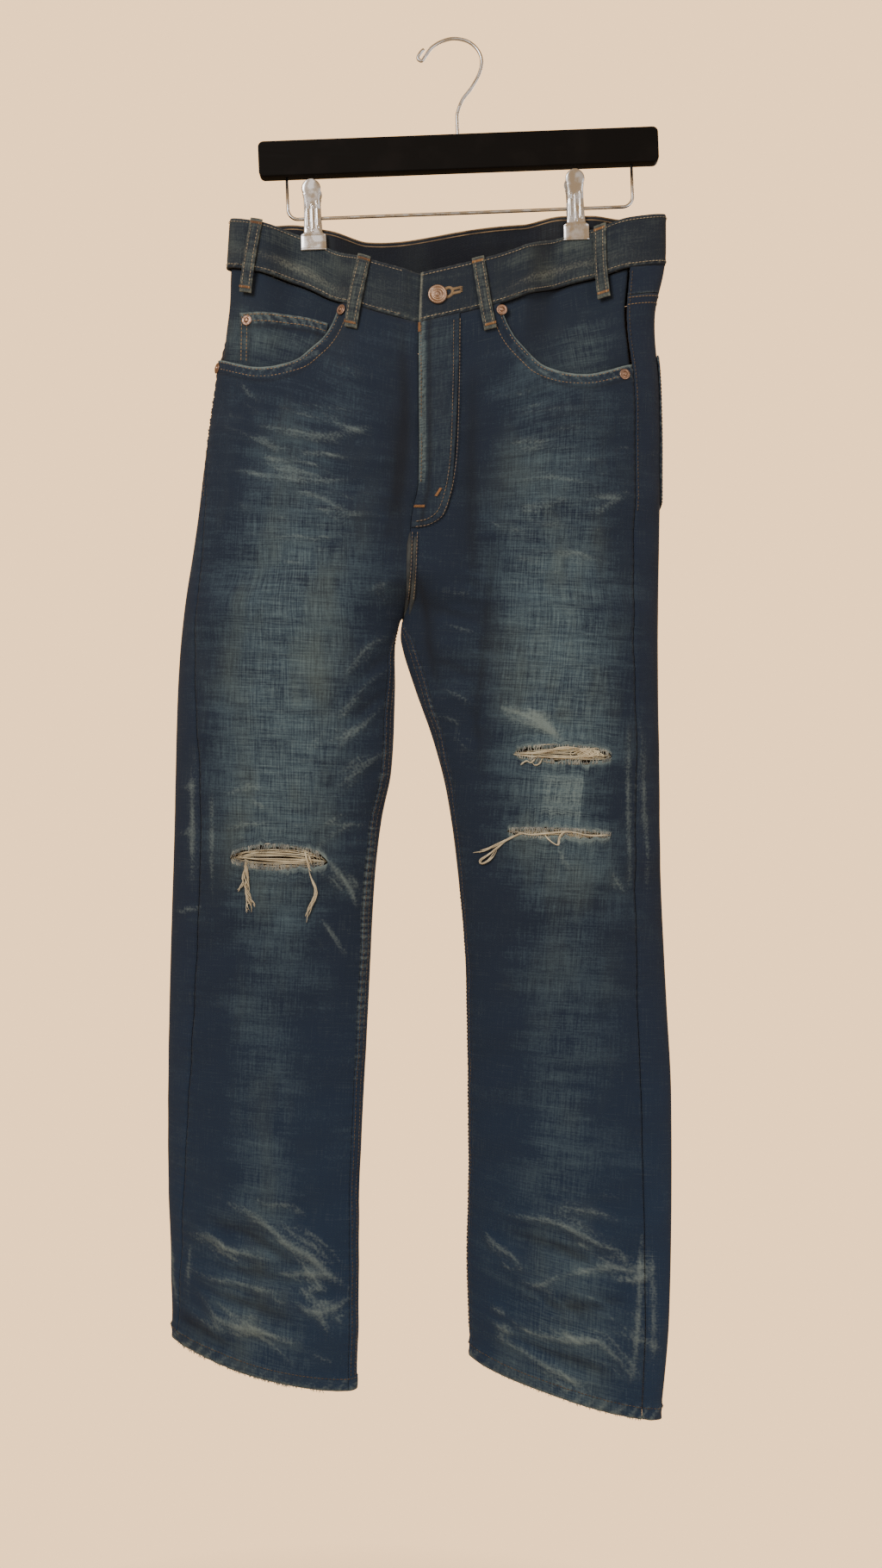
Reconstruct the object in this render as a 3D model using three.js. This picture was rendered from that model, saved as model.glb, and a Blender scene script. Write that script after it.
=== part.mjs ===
// Ripped straight-leg jeans hanging plumb from a clip hanger.
// Millimetres, +Z up. The origin is where the hook rests on its rail, and the front faces -Y.
// Right and left are the wearer's own, so the right leg is on the -X side.

import * as THREE from 'three';

// ---- Sizes of the jeans ----
// A drop is a length down the cloth from the waist's top edge.
// A turn goes once round one leg: 0 at the centre back, 1 at the outer fold, 2 at the centre front.

const WAIST_BELOW_HOOK = 160;
const BAND_HEIGHT = 45;
const CROTCH_DROP = 364;
const HEM_HEIGHT = 12;

const DENIM = 1.4;
const BAND_THICKNESS = 2.4;
const BAND_PROUD = 0.6;
const SEAM_GAP = 0.3;
const FACING_LIFT = -3.9;
const COIN_POCKET = 1.1;
const TRIM = 1.2;
const POCKET_LIFT = 0.5;

// The flattened tube: how far each outer fold, and below the crotch each inner fold,
// stands from the hook's plumb line, as [drop, x]. A seam is [drop, turns in front of the fold].
const RIGHT = {
  side: -1,
  name: 'right',
  hem: 1036,
  hemSlope: -0.135,
  hemSag: 7,
  outer: [[0, -195], [45, -196], [90, -197], [150, -202], [215, -208], [290, -214], [364, -222],
    [430, -225], [580, -223], [860, -221], [960, -217], [1040, -213]],
  inner: [[364, -27], [384, -31], [430, -29.5], [500, -30], [545, -37], [600, -41], [700, -42],
    [860, -42], [960, -37], [1040, -35]],
  outseam: [[0, -0.17], [45, -0.154], [120, -0.05], [180, 0.04], [290, 0.13], [430, 0.197], [580, 0.25],
    [860, 0.223], [1040, 0.144]],
  inseam: [[364, 0.03], [400, 0.105], [500, 0.135], [700, 0.135], [1040, 0.107]],
};
const LEFT = {
  side: 1,
  name: 'left',
  hem: 1047,
  hemSlope: -0.19,
  hemSag: 4,
  outer: [[0, 197], [45, 198], [90, 191], [150, 197], [215, 201], [364, 205], [430, 208], [500, 212],
    [580, 216], [700, 226], [780, 233], [960, 239], [1050, 235]],
  inner: [[364, -26], [384, -26], [425, -12], [470, 6], [516, 20], [580, 32], [675, 44], [860, 53],
    [960, 54], [1050, 60]],
  outseam: [[0, 0.258], [45, 0.254], [120, 0.223], [290, 0.217], [430, 0.21], [580, 0.24], [760, 0.255],
    [1050, 0.19]],
  inseam: [[364, 0.03], [384, 0.14], [450, 0.14], [580, 0.105], [1050, 0.095]],
};
const CENTRE_FRONT = [[0, -21], [45, -21], [110, -18.5], [230, -15.5], [270, -20], [340, -21], [364, -25]];
const CENTRE_BACK = [[0, 7], [45, 7], [150, 0], [250, -12], [364, -26]];

// How far the front and the back stand off the plane of the hanger, as [drop, y].
const FRONT_DEPTH = [[0, 24], [45, 26], [90, 30], [150, 34], [290, 35], [430, 30], [580, 24],
  [860, 20], [1050, 20]];
const BACK_DEPTH = [[0, 20], [45, 24], [90, 32], [150, 40], [215, 45], [290, 44], [430, 34], [580, 27],
  [860, 21], [1050, 17]];
const ROUNDNESS = 2.2;

// The waist slopes up to the left clip, sags between the clips and is pressed flat inside them.
const WAIST_SLOPE = 0.05;
const WAIST_SLOPE_ENDS = 300;
const FRONT_SAG = 58;
const FRONT_SAG_SHAPE = [[0, 1], [0.33, 0.7], [0.6, 0.31], [0.8, 0.15], [1, 0]];
const BACK_SAG = 16;
const BACK_SAG_CENTRE = -60;
const BACK_SAG_REACH = 75;
const SAG_FADE = [60, 330];
const CLIP_X = { right: -119, left: 117 };
const PRESSED_DEPTH = 2.2;
const PRESSED_HALF_WIDTH = 13;
const PRESSED_EASE = 34;
const PRESSED_FADE = [14, 160];
const CROTCH_CLOSES = 322;

// Each leg turns and slopes a little towards its hem.
const LEG_TWIST = THREE.MathUtils.degToRad(15);
const TWIST_FADE = [600, 1040];
const HEM_FADE = [700, 1040];

// ---- The form of the cloth ----

// Eases from 0 to 1 between two drops.
function ease(value, [from, to]) {
  return THREE.MathUtils.smoothstep(value, from, to);
}

// A smooth line through knots [at, value].
function along(knots, at) {
  const last = knots.length - 1;
  let k = 0;
  while (k < last - 1 && at > knots[k + 1][0]) k += 1;
  const [x0, y0] = knots[k];
  const [x1, y1] = knots[k + 1];
  const [xa, ya] = knots[Math.max(k - 1, 0)];
  const [xb, yb] = knots[Math.min(k + 2, last)];
  const width = x1 - x0;
  const t = THREE.MathUtils.clamp((at - x0) / width, 0, 1);
  const leave = (y1 - ya) / (x1 - xa) * width;
  const arrive = (yb - y0) / (xb - x0) * width;
  const rise = y1 - y0;
  return y0 + t * (leave + t * (3 * rise - 2 * leave - arrive + t * (leave + arrive - 2 * rise)));
}

// An ellipse-like crown: 1 in the middle, 0 at both folds.
function crown(across) {
  const inside = 1 - Math.min(Math.abs(across), 1) ** ROUNDNESS;
  return inside ** (1 / ROUNDNESS);
}

function centreLine(front, drop) {
  return along(front ? CENTRE_FRONT : CENTRE_BACK, drop);
}

function innerEdge(leg, front, drop) {
  return drop < CROTCH_DROP ? centreLine(front, drop) : along(leg.inner, drop);
}

// How far the top edge and the seams under it sag below the straight waist line.
function sag(x, front, drop) {
  const fade = 1 - ease(drop, SAG_FADE);
  if (!front) return BACK_SAG * fade * Math.exp(-(((x - BACK_SAG_CENTRE) / BACK_SAG_REACH) ** 2));
  const centre = centreLine(true, drop);
  const leg = x < centre ? RIGHT : LEFT;
  const share = (x - centre) / (along(leg.outer, drop) - centre);
  return FRONT_SAG * fade * along(FRONT_SAG_SHAPE, Math.min(share, 1));
}

// Depth of the whole body above the crotch, pressed flat inside the clips.
function bodyDepth(x, drop, full) {
  const low = along(RIGHT.outer, drop);
  const high = along(LEFT.outer, drop);
  const depth = full * crown((2 * x - low - high) / (high - low));
  const grip = 1 - ease(drop, PRESSED_FADE);
  const rightFree = Math.abs(x - CLIP_X.right) - PRESSED_HALF_WIDTH;
  const leftFree = Math.abs(x - CLIP_X.left) - PRESSED_HALF_WIDTH;
  const free = ease(rightFree, [0, PRESSED_EASE]) * ease(leftFree, [0, PRESSED_EASE]);
  const held = PRESSED_DEPTH + (depth - PRESSED_DEPTH) * free;
  return depth < PRESSED_DEPTH ? depth : THREE.MathUtils.lerp(depth, held, grip);
}

// A point on the outer face of the cloth.
function face(leg, anyTurn, drop) {
  const isLeg = drop > CROTCH_DROP;
  const turn = isLeg ? (anyTurn + 2) % 2 : anyTurn;
  const front = turn > 1;
  const share = (1 - Math.cos(Math.PI * Math.abs(turn - 1))) / 2;
  const outer = along(leg.outer, drop);
  const inner = innerEdge(leg, front, drop);
  const x = outer + (inner - outer) * share;
  const full = along(front ? FRONT_DEPTH : BACK_DEPTH, drop);
  const legDepth = full * crown(2 * share - 1);
  const closed = isLeg ? 1 : ease(drop, [CROTCH_CLOSES, CROTCH_DROP]);
  const depth = isLeg ? legDepth : THREE.MathUtils.lerp(bodyDepth(x, drop, full), legDepth, closed);
  const y = front ? -depth : depth;
  const level = -WAIST_BELOW_HOOK - drop;
  if (!isLeg) {
    const slope = WAIST_SLOPE * (1 - ease(drop, [0, WAIST_SLOPE_ENDS]));
    return new THREE.Vector3(x, y, level + slope * x - sag(x, front, drop));
  }
  const centre = (outer + inner) / 2;
  const twist = LEG_TWIST * ease(drop, TWIST_FADE);
  const bow = 1 - (2 * share - 1) ** 2;
  const lean = (leg.hemSlope * (x - centre) - leg.hemSag * bow) * ease(drop, HEM_FADE);
  const cos = Math.cos(twist);
  const sin = Math.sin(twist);
  return new THREE.Vector3(centre + (x - centre) * cos + y * sin, y * cos - (x - centre) * sin, level + lean);
}

const TURN_STEP = 0.006;
const DROP_STEP = 1;

// Two turns just before and just after this one, which stop at the centre seams of the body.
function turnsAround(turn, drop) {
  const isLeg = drop > CROTCH_DROP;
  const before = isLeg ? turn - TURN_STEP : Math.max(turn - TURN_STEP, 0);
  const after = isLeg ? turn + TURN_STEP : Math.min(turn + TURN_STEP, 2);
  return [before, after];
}

// A point on the cloth, lifted off its outer face along the normal.
function cloth(leg, turn, drop, lift) {
  const point = face(leg, turn, drop);
  const [before, after] = turnsAround(turn, drop);
  const isLeg = drop > CROTCH_DROP;
  const above = isLeg ? Math.max(drop - DROP_STEP, CROTCH_DROP + 0.1) : drop - DROP_STEP;
  const below = isLeg ? drop + DROP_STEP : Math.min(drop + DROP_STEP, CROTCH_DROP);
  const round = face(leg, after, drop).sub(face(leg, before, drop));
  const down = face(leg, turn, below).sub(face(leg, turn, above));
  const normal = down.cross(round).multiplyScalar(-leg.side).normalize();
  return point.addScaledVector(normal, lift);
}

// The turn at which the flat outline stands at x.
function turnAt(leg, x, drop, front) {
  const outer = along(leg.outer, drop);
  const inner = innerEdge(leg, front, drop);
  const share = THREE.MathUtils.clamp((x - outer) / (inner - outer), 0, 1);
  const swing = Math.acos(1 - 2 * share) / Math.PI;
  return front ? 1 + swing : 1 - swing;
}

// Moves a turn round the cloth by a length.
function nudge(leg, turn, drop, length) {
  const [before, after] = turnsAround(turn, drop);
  const span = face(leg, after, drop).distanceTo(face(leg, before, drop));
  return turn + length * (after - before) / span;
}

// ---- Seam lines ----

function outseam(leg, drop, gap) {
  return nudge(leg, 1 + along(leg.outseam, drop), drop, gap);
}

// The front panel's inner edge: the centre front, then the inseam.
function frontInner(leg, drop) {
  if (drop < CROTCH_DROP) return turnAt(leg, centreLine(true, drop) + leg.side * SEAM_GAP / 2, drop, true);
  return nudge(leg, 2 - along(leg.inseam, drop), drop, -SEAM_GAP / 2);
}

// The back panel's inner edge: the centre back, then the inseam, which it reaches round the inner fold.
function backInner(leg, drop) {
  if (drop < CROTCH_DROP) return turnAt(leg, centreLine(false, drop) + leg.side * SEAM_GAP / 2, drop, false);
  return nudge(leg, frontInner(leg, drop), drop, SEAM_GAP) - 2;
}

// How far round the front a turn lies from the centre front, carried on past the outer fold.
function reach(leg, turn, drop) {
  const outer = along(leg.outer, drop);
  const centre = centreLine(true, drop);
  const share = (1 - Math.cos(Math.PI * Math.abs(turn - 1))) / 2;
  const toFold = Math.abs(outer - centre);
  return turn > 1 ? toFold * (1 - share) : toFold * (1 + share);
}

function frontTurn(leg, distance, drop) {
  return turnAt(leg, centreLine(true, drop) + leg.side * distance, drop, true);
}

function backTurn(leg, distance, drop) {
  return turnAt(leg, centreLine(false, drop) + leg.side * distance, drop, false);
}

// The front pocket's mouth, from the waistband down to the side seam, as [reach, drop].
const POCKET_MOUTH = [[71, 45], [75, 58], [85, 83], [97, 103], [109, 119], [128, 131], [147, 136],
  [165, 135], [183, 132], [230, 130]];

// The drop at which a line down the cloth meets the pocket's mouth.
function mouthDrop(leg, line) {
  let drop = BAND_HEIGHT;
  for (let step = 0; step < 40; step += 1) {
    const distance = reach(leg, line(drop), drop);
    const target = distance < POCKET_MOUTH[0][0] ? BAND_HEIGHT : along(POCKET_MOUTH, distance);
    drop += (target - drop) * 0.4;
  }
  return drop;
}

// ---- Walls of cloth ----

const jeans = new THREE.Group();

function addMesh(parent, name, geometry, finish) {
  const mesh = new THREE.Mesh(geometry, new THREE.MeshStandardMaterial(finish));
  mesh.name = name;
  parent.add(mesh);
  return mesh;
}

function volumeOf(positions, triangles) {
  const [a, b, c] = [new THREE.Vector3(), new THREE.Vector3(), new THREE.Vector3()];
  let volume = 0;
  for (let k = 0; k < triangles.length; k += 3) {
    a.fromArray(positions, triangles[k] * 3);
    b.fromArray(positions, triangles[k + 1] * 3);
    c.fromArray(positions, triangles[k + 2] * 3);
    volume += a.dot(b.cross(c)) / 6;
  }
  return volume;
}

// A wall on a grid of points: an outer face, an inner face, and an edge round every free side.
// point(i, j, inside) gives the corners, and missing(i, j) leaves a cell open.
function wall(columns, rows, point, missing = () => false) {
  const positions = [];
  const triangles = [];
  for (const inside of [false, true]) {
    for (let i = 0; i < columns; i += 1) {
      for (let j = 0; j < rows; j += 1) positions.push(...point(i, j, inside).toArray());
    }
  }
  const at = (i, j, inside) => (inside ? columns * rows : 0) + i * rows + j;
  const quad = (a, b, c, d) => triangles.push(a, b, c, a, c, d);
  const gone = (i, j) => i < 0 || j < 0 || i >= columns - 1 || j >= rows - 1 || missing(i, j);
  for (let i = 0; i < columns - 1; i += 1) {
    for (let j = 0; j < rows - 1; j += 1) {
      if (gone(i, j)) continue;
      const ring = [[i, j], [i, j + 1], [i + 1, j + 1], [i + 1, j]];
      const beside = [[i - 1, j], [i, j + 1], [i + 1, j], [i, j - 1]];
      quad(...ring.map(([p, q]) => at(p, q, false)));
      quad(...[0, 3, 2, 1].map((k) => at(...ring[k], true)));
      ring.forEach(([p, q], k) => {
        const [r, s] = ring[(k + 1) % 4];
        if (gone(...beside[k])) quad(at(p, q, false), at(p, q, true), at(r, s, true), at(r, s, false));
      });
    }
  }
  if (volumeOf(positions, triangles) < 0) triangles.reverse();
  const geometry = new THREE.BufferGeometry();
  geometry.setAttribute('position', new THREE.Float32BufferAttribute(positions, 3));
  geometry.setIndex(triangles);
  geometry.computeVertexNormals();
  return geometry;
}

// A panel whose columns each follow a line, turn(drop), down the cloth.
// drops(i) lists the rows of one column.
function panel(name, finish, leg, { lines, drops, lift = 0, thick = () => DENIM, missing }) {
  const rows = lines.map((line, i) => drops(i));
  const point = (i, j, inside) => {
    const drop = rows[i][j];
    return cloth(leg, lines[i](drop), drop, inside ? lift - thick(drop) : lift);
  };
  addMesh(jeans, name, wall(lines.length, rows[0].length, point, missing), finish);
}

// Lines that share out the cloth between two seams.
function sharedLines(start, end, shares) {
  return shares.map((share) => (drop) => THREE.MathUtils.lerp(start(drop), end(drop), share));
}

function evenly(from, to, cells) {
  return Array.from({ length: cells + 1 }, (_, k) => THREE.MathUtils.lerp(from, to, k / cells));
}

const FADED_DENIM = { color: 0x3c4a55, roughness: 0.9, metalness: 0 };
const DARK_DENIM = { color: 0x2a3440, roughness: 0.9, metalness: 0 };
const COPPER = { color: 0x9a6f58, roughness: 0.35, metalness: 1 };
const BLACK_WOOD = { color: 0x12110f, roughness: 0.6, metalness: 0 };
const CHROME = { color: 0xb8b2ab, roughness: 0.2, metalness: 1 };

// The hem is a double fold, so the last stretch of a leg is twice as thick.
function legThickness(leg) {
  return (drop) => (drop > leg.hem - HEM_HEIGHT - 0.5 ? 2 * DENIM : DENIM);
}

function hemRows(leg) {
  return [leg.hem - HEM_HEIGHT - 2, leg.hem - HEM_HEIGHT, leg.hem];
}

// ---- Front panels, with the knees' rips ----

// A rip lies between two columns of its panel and opens like a lid round its drop.
const RIPS = {
  right: [{ drop: 584, open: 19, bow: 3, from: 3, to: 7 }],
  left: [{ drop: 480, open: 13, bow: 0, from: 2, to: 6 }, { drop: 550, open: 6, bow: 0, from: 2, to: 7 }],
};
const FRONT_SHARES = {
  right: [0, 0.07, 0.13, 0.19, 0.31, 0.44, 0.57, 0.7, 0.8, 0.9, 1],
  left: [0, 0.07, 0.15, 0.26, 0.37, 0.48, 0.58, 0.65, 0.77, 0.89, 1],
};
const UNRIPPED_ROW = 2.5;

// The two edges of a rip at one share of the panel's width.
function ripEdges(rip, shares, share) {
  const from = shares[rip.from];
  const to = shares[rip.to];
  const across = THREE.MathUtils.clamp((2 * share - from - to) / (to - from), -1, 1);
  const lens = Math.sqrt(1 - across * across);
  const middle = rip.drop - rip.bow * lens;
  const half = Math.max(rip.open * lens, UNRIPPED_ROW) / 2;
  return [middle - half, middle + half];
}

const MOUTH_CLEAR = 150;
const MOUTH_CELLS = 4;
const BODY_ROWS = [180, 220, 260, 300, 330, 346, 359, 369, 384, 405];
const LEG_ROWS = {
  right: [450, 505, 552, 584, 620, 690, 780, 870, 950],
  left: [440, 480, 512, 550, 585, 650, 740, 830, 920],
};

function addFront(leg) {
  const shares = FRONT_SHARES[leg.name];
  const rips = RIPS[leg.name];
  const start = (drop) => outseam(leg, drop, SEAM_GAP);
  const lines = sharedLines(start, (drop) => frontInner(leg, drop), shares);
  const above = [...BODY_ROWS, ...LEG_ROWS[leg.name]].filter((drop) => drop < rips[0].drop);
  const below = LEG_ROWS[leg.name].filter((drop) => drop > rips[0].drop);
  const drops = (i) => {
    const mouth = mouthDrop(leg, lines[i]) + SEAM_GAP / 2;
    const legRows = below.flatMap((drop) => {
      const rip = rips.find((other) => other.drop === drop);
      return rip ? ripEdges(rip, shares, shares[i]) : [drop];
    });
    return [...evenly(mouth, MOUTH_CLEAR, MOUTH_CELLS), ...above, ...ripEdges(rips[0], shares, shares[i]),
      ...legRows, ...hemRows(leg)];
  };
  const firstRow = MOUTH_CELLS + 1 + above.length;
  const ripRow = (rip) => firstRow + (rip === rips[0] ? 0 : 2 + below.indexOf(rip.drop));
  const missing = (i, j) => rips.some((rip) => j === ripRow(rip) && i >= rip.from && i < rip.to);
  panel(`front_${leg.name}`, FADED_DENIM, leg, { lines, drops, thick: legThickness(leg), missing });
}
addFront(RIGHT);
addFront(LEFT);

// ---- Back panels and the yokes above them ----

const YOKE_SIDE_DROP = 70;
const YOKE_CENTRE_DROP = 106;
const BACK_SHARES = [0, 0.12, 0.22, 0.3, 0.39, 0.47, 0.55, 0.63, 0.73, 0.85, 1];
const POCKET_COLUMNS = { first: 3, last: 9 };
const POCKET_TOP = { inner: 119, outer: 124 };

// The waistband and the yokes share their upright lines, which are closest round the clips.
const UPRIGHTS = {
  right: [-28, -48, -68, -86, -97, -106, -119, -132, -142, -156, -170, -182, -190],
  left: [20, 40, 60, 76, 90, 104, 117, 130, 140, 152, 166, 180, 190],
};

// The drop at which a line down the cloth meets the seam under the yoke, which runs straight
// from the centre back to the fold.
function yokeDrop(line) {
  let drop = YOKE_SIDE_DROP;
  for (let step = 0; step < 4; step += 1) {
    const across = (1 - Math.cos(Math.PI * Math.min(line(drop), 1))) / 2;
    drop = THREE.MathUtils.lerp(YOKE_CENTRE_DROP, YOKE_SIDE_DROP, across);
  }
  return drop;
}

function pocketTop(share) {
  return THREE.MathUtils.lerp(POCKET_TOP.inner, POCKET_TOP.outer, share);
}

function addBack(leg) {
  const start = (drop) => backInner(leg, drop);
  const end = (drop) => outseam(leg, drop, -SEAM_GAP);
  const uprights = UPRIGHTS[leg.name].map((x) => (drop) => turnAt(leg, x, drop, false));
  const fold = leg === LEFT ? [() => 1, (drop) => turnAt(leg, 186, drop, true)] : [];
  const yokeLines = [start, ...uprights.slice(0, leg === LEFT ? undefined : -1), ...fold, end];
  panel(`yoke_${leg.name}`, DARK_DENIM, leg, {
    lines: yokeLines,
    drops: (i) => evenly(BAND_HEIGHT + SEAM_GAP / 2, yokeDrop(yokeLines[i]) - SEAM_GAP, 2),
  });
  const lines = sharedLines(start, end, BACK_SHARES);
  panel(`back_${leg.name}`, DARK_DENIM, leg, {
    lines,
    drops: (i) => {
      const top = pocketTop(BACK_SHARES[i]);
      const upper = evenly(yokeDrop(lines[i]) + SEAM_GAP, top, 2);
      const lower = evenly(top, MOUTH_CLEAR, 2).slice(1);
      return [...upper, ...lower, ...BODY_ROWS, ...LEG_ROWS[leg.name], ...hemRows(leg)];
    },
    thick: legThickness(leg),
  });
}
addBack(RIGHT);
addBack(LEFT);

// ---- Front pockets: the facing that shows behind each mouth, and the coin pocket ----

const FACING_UNDERLAP = 8;
const FACING_REACHES = [63, 71, 83, 96, 109, 122, 136, 150, 163];
const COIN_TOP = { near: 68, far: 86 };

// The straight upper edge of the coin pocket, which the facing's rows follow too.
function coinTop(distance) {
  return THREE.MathUtils.mapLinear(distance, 83, 163, COIN_TOP.near, COIN_TOP.far);
}

function facingRows(leg, line, distance, underlap) {
  const low = mouthDrop(leg, line) + underlap;
  const top = coinTop(distance);
  return evenly(top, Math.max(low, top + underlap), 3);
}

function addFacing(leg) {
  const edge = (drop) => outseam(leg, drop, 2 * SEAM_GAP);
  const lines = FACING_REACHES.map((distance) => (drop) => frontTurn(leg, distance, drop));
  const distances = [...FACING_REACHES, 178];
  panel(`pocket_facing_${leg.name}`, FADED_DENIM, leg, {
    lines: [...lines, edge],
    drops: (i) => {
      const rows = facingRows(leg, [...lines, edge][i], distances[i], FACING_UNDERLAP);
      return [BAND_HEIGHT + SEAM_GAP / 2, ...rows];
    },
    lift: FACING_LIFT,
  });
}
addFacing(RIGHT);
addFacing(LEFT);

function addCoinPocket(leg) {
  const distances = FACING_REACHES.slice(2);
  const lines = distances.map((distance) => (drop) => frontTurn(leg, distance, drop));
  panel('coin_pocket', FADED_DENIM, leg, {
    lines,
    drops: (i) => facingRows(leg, lines[i], distances[i], FACING_UNDERLAP - 1),
    lift: FACING_LIFT + SEAM_GAP + COIN_POCKET,
    thick: () => COIN_POCKET,
  });
}
addCoinPocket(RIGHT);

// ---- Back pockets, laid on the back panels' own lines ----

const POCKET_LOW = { side: 250, point: 273 };

function addBackPocket(leg) {
  const { first, last } = POCKET_COLUMNS;
  const shares = BACK_SHARES.slice(first, last + 1);
  const start = (drop) => backInner(leg, drop);
  const end = (drop) => outseam(leg, drop, -SEAM_GAP);
  panel(`back_pocket_${leg.name}`, DARK_DENIM, leg, {
    lines: sharedLines(start, end, shares),
    drops: (i) => {
      const fromMiddle = Math.abs(2 * i / (shares.length - 1) - 1);
      const low = THREE.MathUtils.lerp(POCKET_LOW.point, POCKET_LOW.side, fromMiddle);
      return [...evenly(pocketTop(shares[i]), MOUTH_CLEAR, 2), 180, 220, low];
    },
    lift: POCKET_LIFT + TRIM,
    thick: () => TRIM,
  });
}
addBackPocket(RIGHT);
addBackPocket(LEFT);

// ---- Fly: the placket that is turned under and stitched down in a J ----

const FLY = { width: 36, narrow: 30, narrowDrop: 258, curve: 24 };

function addFly(leg) {
  const narrowing = (drop) => ease(drop, [BAND_HEIGHT, FLY.narrowDrop]);
  const width = (drop) => THREE.MathUtils.lerp(FLY.width, FLY.narrow, narrowing(drop));
  const shares = [0, 0.3, 0.6, 0.85, 1];
  const start = (drop) => frontTurn(leg, SEAM_GAP, drop);
  panel('fly', DARK_DENIM, leg, {
    lines: sharedLines(start, (drop) => frontTurn(leg, width(drop), drop), shares),
    drops: (i) => {
      const low = FLY.narrowDrop + FLY.curve * Math.sqrt(1 - shares[i] * shares[i]);
      return evenly(BAND_HEIGHT + SEAM_GAP / 2, low, 7);
    },
    lift: SEAM_GAP + TRIM,
    thick: () => TRIM,
  });
}
addFly(LEFT);

// ---- Waistband: one strip round the waist, whose button end passes under its buttonhole end ----

const BUTTON = { reach: 16, drop: 24, radius: 8.6, shank: 2.4, hole: 3.5, head: 3.4 };
const UNDERLAP = 32;
const UNDERLAP_LIFT = BAND_PROUD - BAND_THICKNESS - SEAM_GAP;
const UNDERLAP_EASE = 16;

function addWaistband() {
  const middle = BAND_HEIGHT / 2;
  const at = (leg, x, front, lift = BAND_PROUD) => ({ leg, turn: turnAt(leg, x, middle, front), lift });
  const fromCentre = (leg, distance, lift) => ({ leg, turn: frontTurn(leg, distance, middle), lift });
  const leftFront = UPRIGHTS.left.filter((x) => x > 20);
  const overlap = [SEAM_GAP, BUTTON.reach - BUTTON.hole, BUTTON.reach + BUTTON.hole, 41];
  const stations = [
    ...overlap.map((distance) => fromCentre(LEFT, distance, BAND_PROUD)),
    ...leftFront.map((x) => at(LEFT, x, true)),
    { leg: LEFT, turn: 1, lift: BAND_PROUD },
    ...[...UPRIGHTS.left].reverse().map((x) => at(LEFT, x, false)),
    { leg: LEFT, turn: 0, lift: BAND_PROUD },
    ...UPRIGHTS.right.map((x) => at(RIGHT, x, false)),
    { leg: RIGHT, turn: 1, lift: BAND_PROUD },
    ...UPRIGHTS.right.slice(1).reverse().map((x) => at(RIGHT, x, true)),
    fromCentre(RIGHT, UNDERLAP_EASE, BAND_PROUD),
    fromCentre(RIGHT, UNDERLAP_EASE / 4, UNDERLAP_LIFT),
    fromCentre(LEFT, UNDERLAP_EASE / 4, UNDERLAP_LIFT),
    fromCentre(LEFT, UNDERLAP, UNDERLAP_LIFT),
  ];
  const rows = [0, BUTTON.drop - BUTTON.hole, BUTTON.drop + BUTTON.hole, BAND_HEIGHT - SEAM_GAP / 2];
  const point = (i, j, inside) => {
    const { leg, turn, lift } = stations[i];
    return cloth(leg, turn, rows[j], inside ? lift - BAND_THICKNESS : lift);
  };
  const missing = (i, j) => i === 1 && j === 1;
  addMesh(jeans, 'waistband', wall(stations.length, rows.length, point, missing), FADED_DENIM);
}
addWaistband();

// ---- Belt loops: seven strips over the waistband, caught at both ends ----

const LOOP = { width: 10.5, top: -1.5, bottom: 67, thickness: 1.6, clear: 0.9, bulge: 1, cells: 6 };
const LOOP_LIFT = BAND_PROUD + LOOP.clear + LOOP.thickness;

// A loop leans from its distance at the top to its distance at the bottom.
function addLoop(name, leg, front, topReach, bottomReach) {
  const drops = evenly(LOOP.top, LOOP.bottom, LOOP.cells);
  const point = (i, j, inside) => {
    const share = j / LOOP.cells;
    const lean = THREE.MathUtils.lerp(topReach, bottomReach, share);
    const distance = lean + (i - 0.5) * LOOP.width;
    const place = distance < 0 ? { leg: LEFT, at: -distance } : { leg, at: distance };
    const turn = (front ? frontTurn : backTurn)(place.leg, place.at, drops[j]);
    const lift = LOOP_LIFT + LOOP.bulge * Math.sin(Math.PI * share);
    return cloth(place.leg, turn, drops[j], inside ? lift - LOOP.thickness : lift);
  };
  addMesh(jeans, name, wall(2, drops.length, point), FADED_DENIM);
}
addLoop('belt_loop_front_right', RIGHT, true, 50, 60);
addLoop('belt_loop_front_left', LEFT, true, 50, 63);
addLoop('belt_loop_side_right', RIGHT, true, 148, 156);
addLoop('belt_loop_side_left', LEFT, true, 159, 164);
addLoop('belt_loop_back_right', RIGHT, false, 90, 90);
addLoop('belt_loop_back_left', LEFT, false, 90, 90);
addLoop('belt_loop_back_centre', RIGHT, false, 0, 0);

// ---- Button and rivets: turned metal, lying on the cloth ----

function addTurned(name, profile, leg, turn, drop, lift, segments) {
  const points = profile.map(([radius, height]) => new THREE.Vector2(radius, height));
  const mesh = addMesh(jeans, name, new THREE.LatheGeometry(points, segments), COPPER);
  const base = cloth(leg, turn, drop, lift);
  const normal = cloth(leg, turn, drop, lift + 1).sub(base);
  mesh.position.copy(base);
  mesh.quaternion.setFromUnitVectors(new THREE.Vector3(0, 1, 0), normal);
}

const SHANK_LENGTH = BAND_PROUD - UNDERLAP_LIFT;
const BUTTON_PROFILE = [[0, -SHANK_LENGTH], [BUTTON.shank, -SHANK_LENGTH], [BUTTON.shank, 0],
  [BUTTON.radius - 0.8, 0], [BUTTON.radius, 1], [BUTTON.radius, 1.9], [BUTTON.radius - 1.4, 2.9],
  [4.6, 2.1], [2.8, BUTTON.head], [0, BUTTON.head]];
const BUTTON_SIDES = 18;

function addButton() {
  const turn = frontTurn(LEFT, BUTTON.reach, BUTTON.drop);
  addTurned('waist_button', BUTTON_PROFILE, LEFT, turn, BUTTON.drop, BAND_PROUD + SEAM_GAP, BUTTON_SIDES);
}
addButton();

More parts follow.
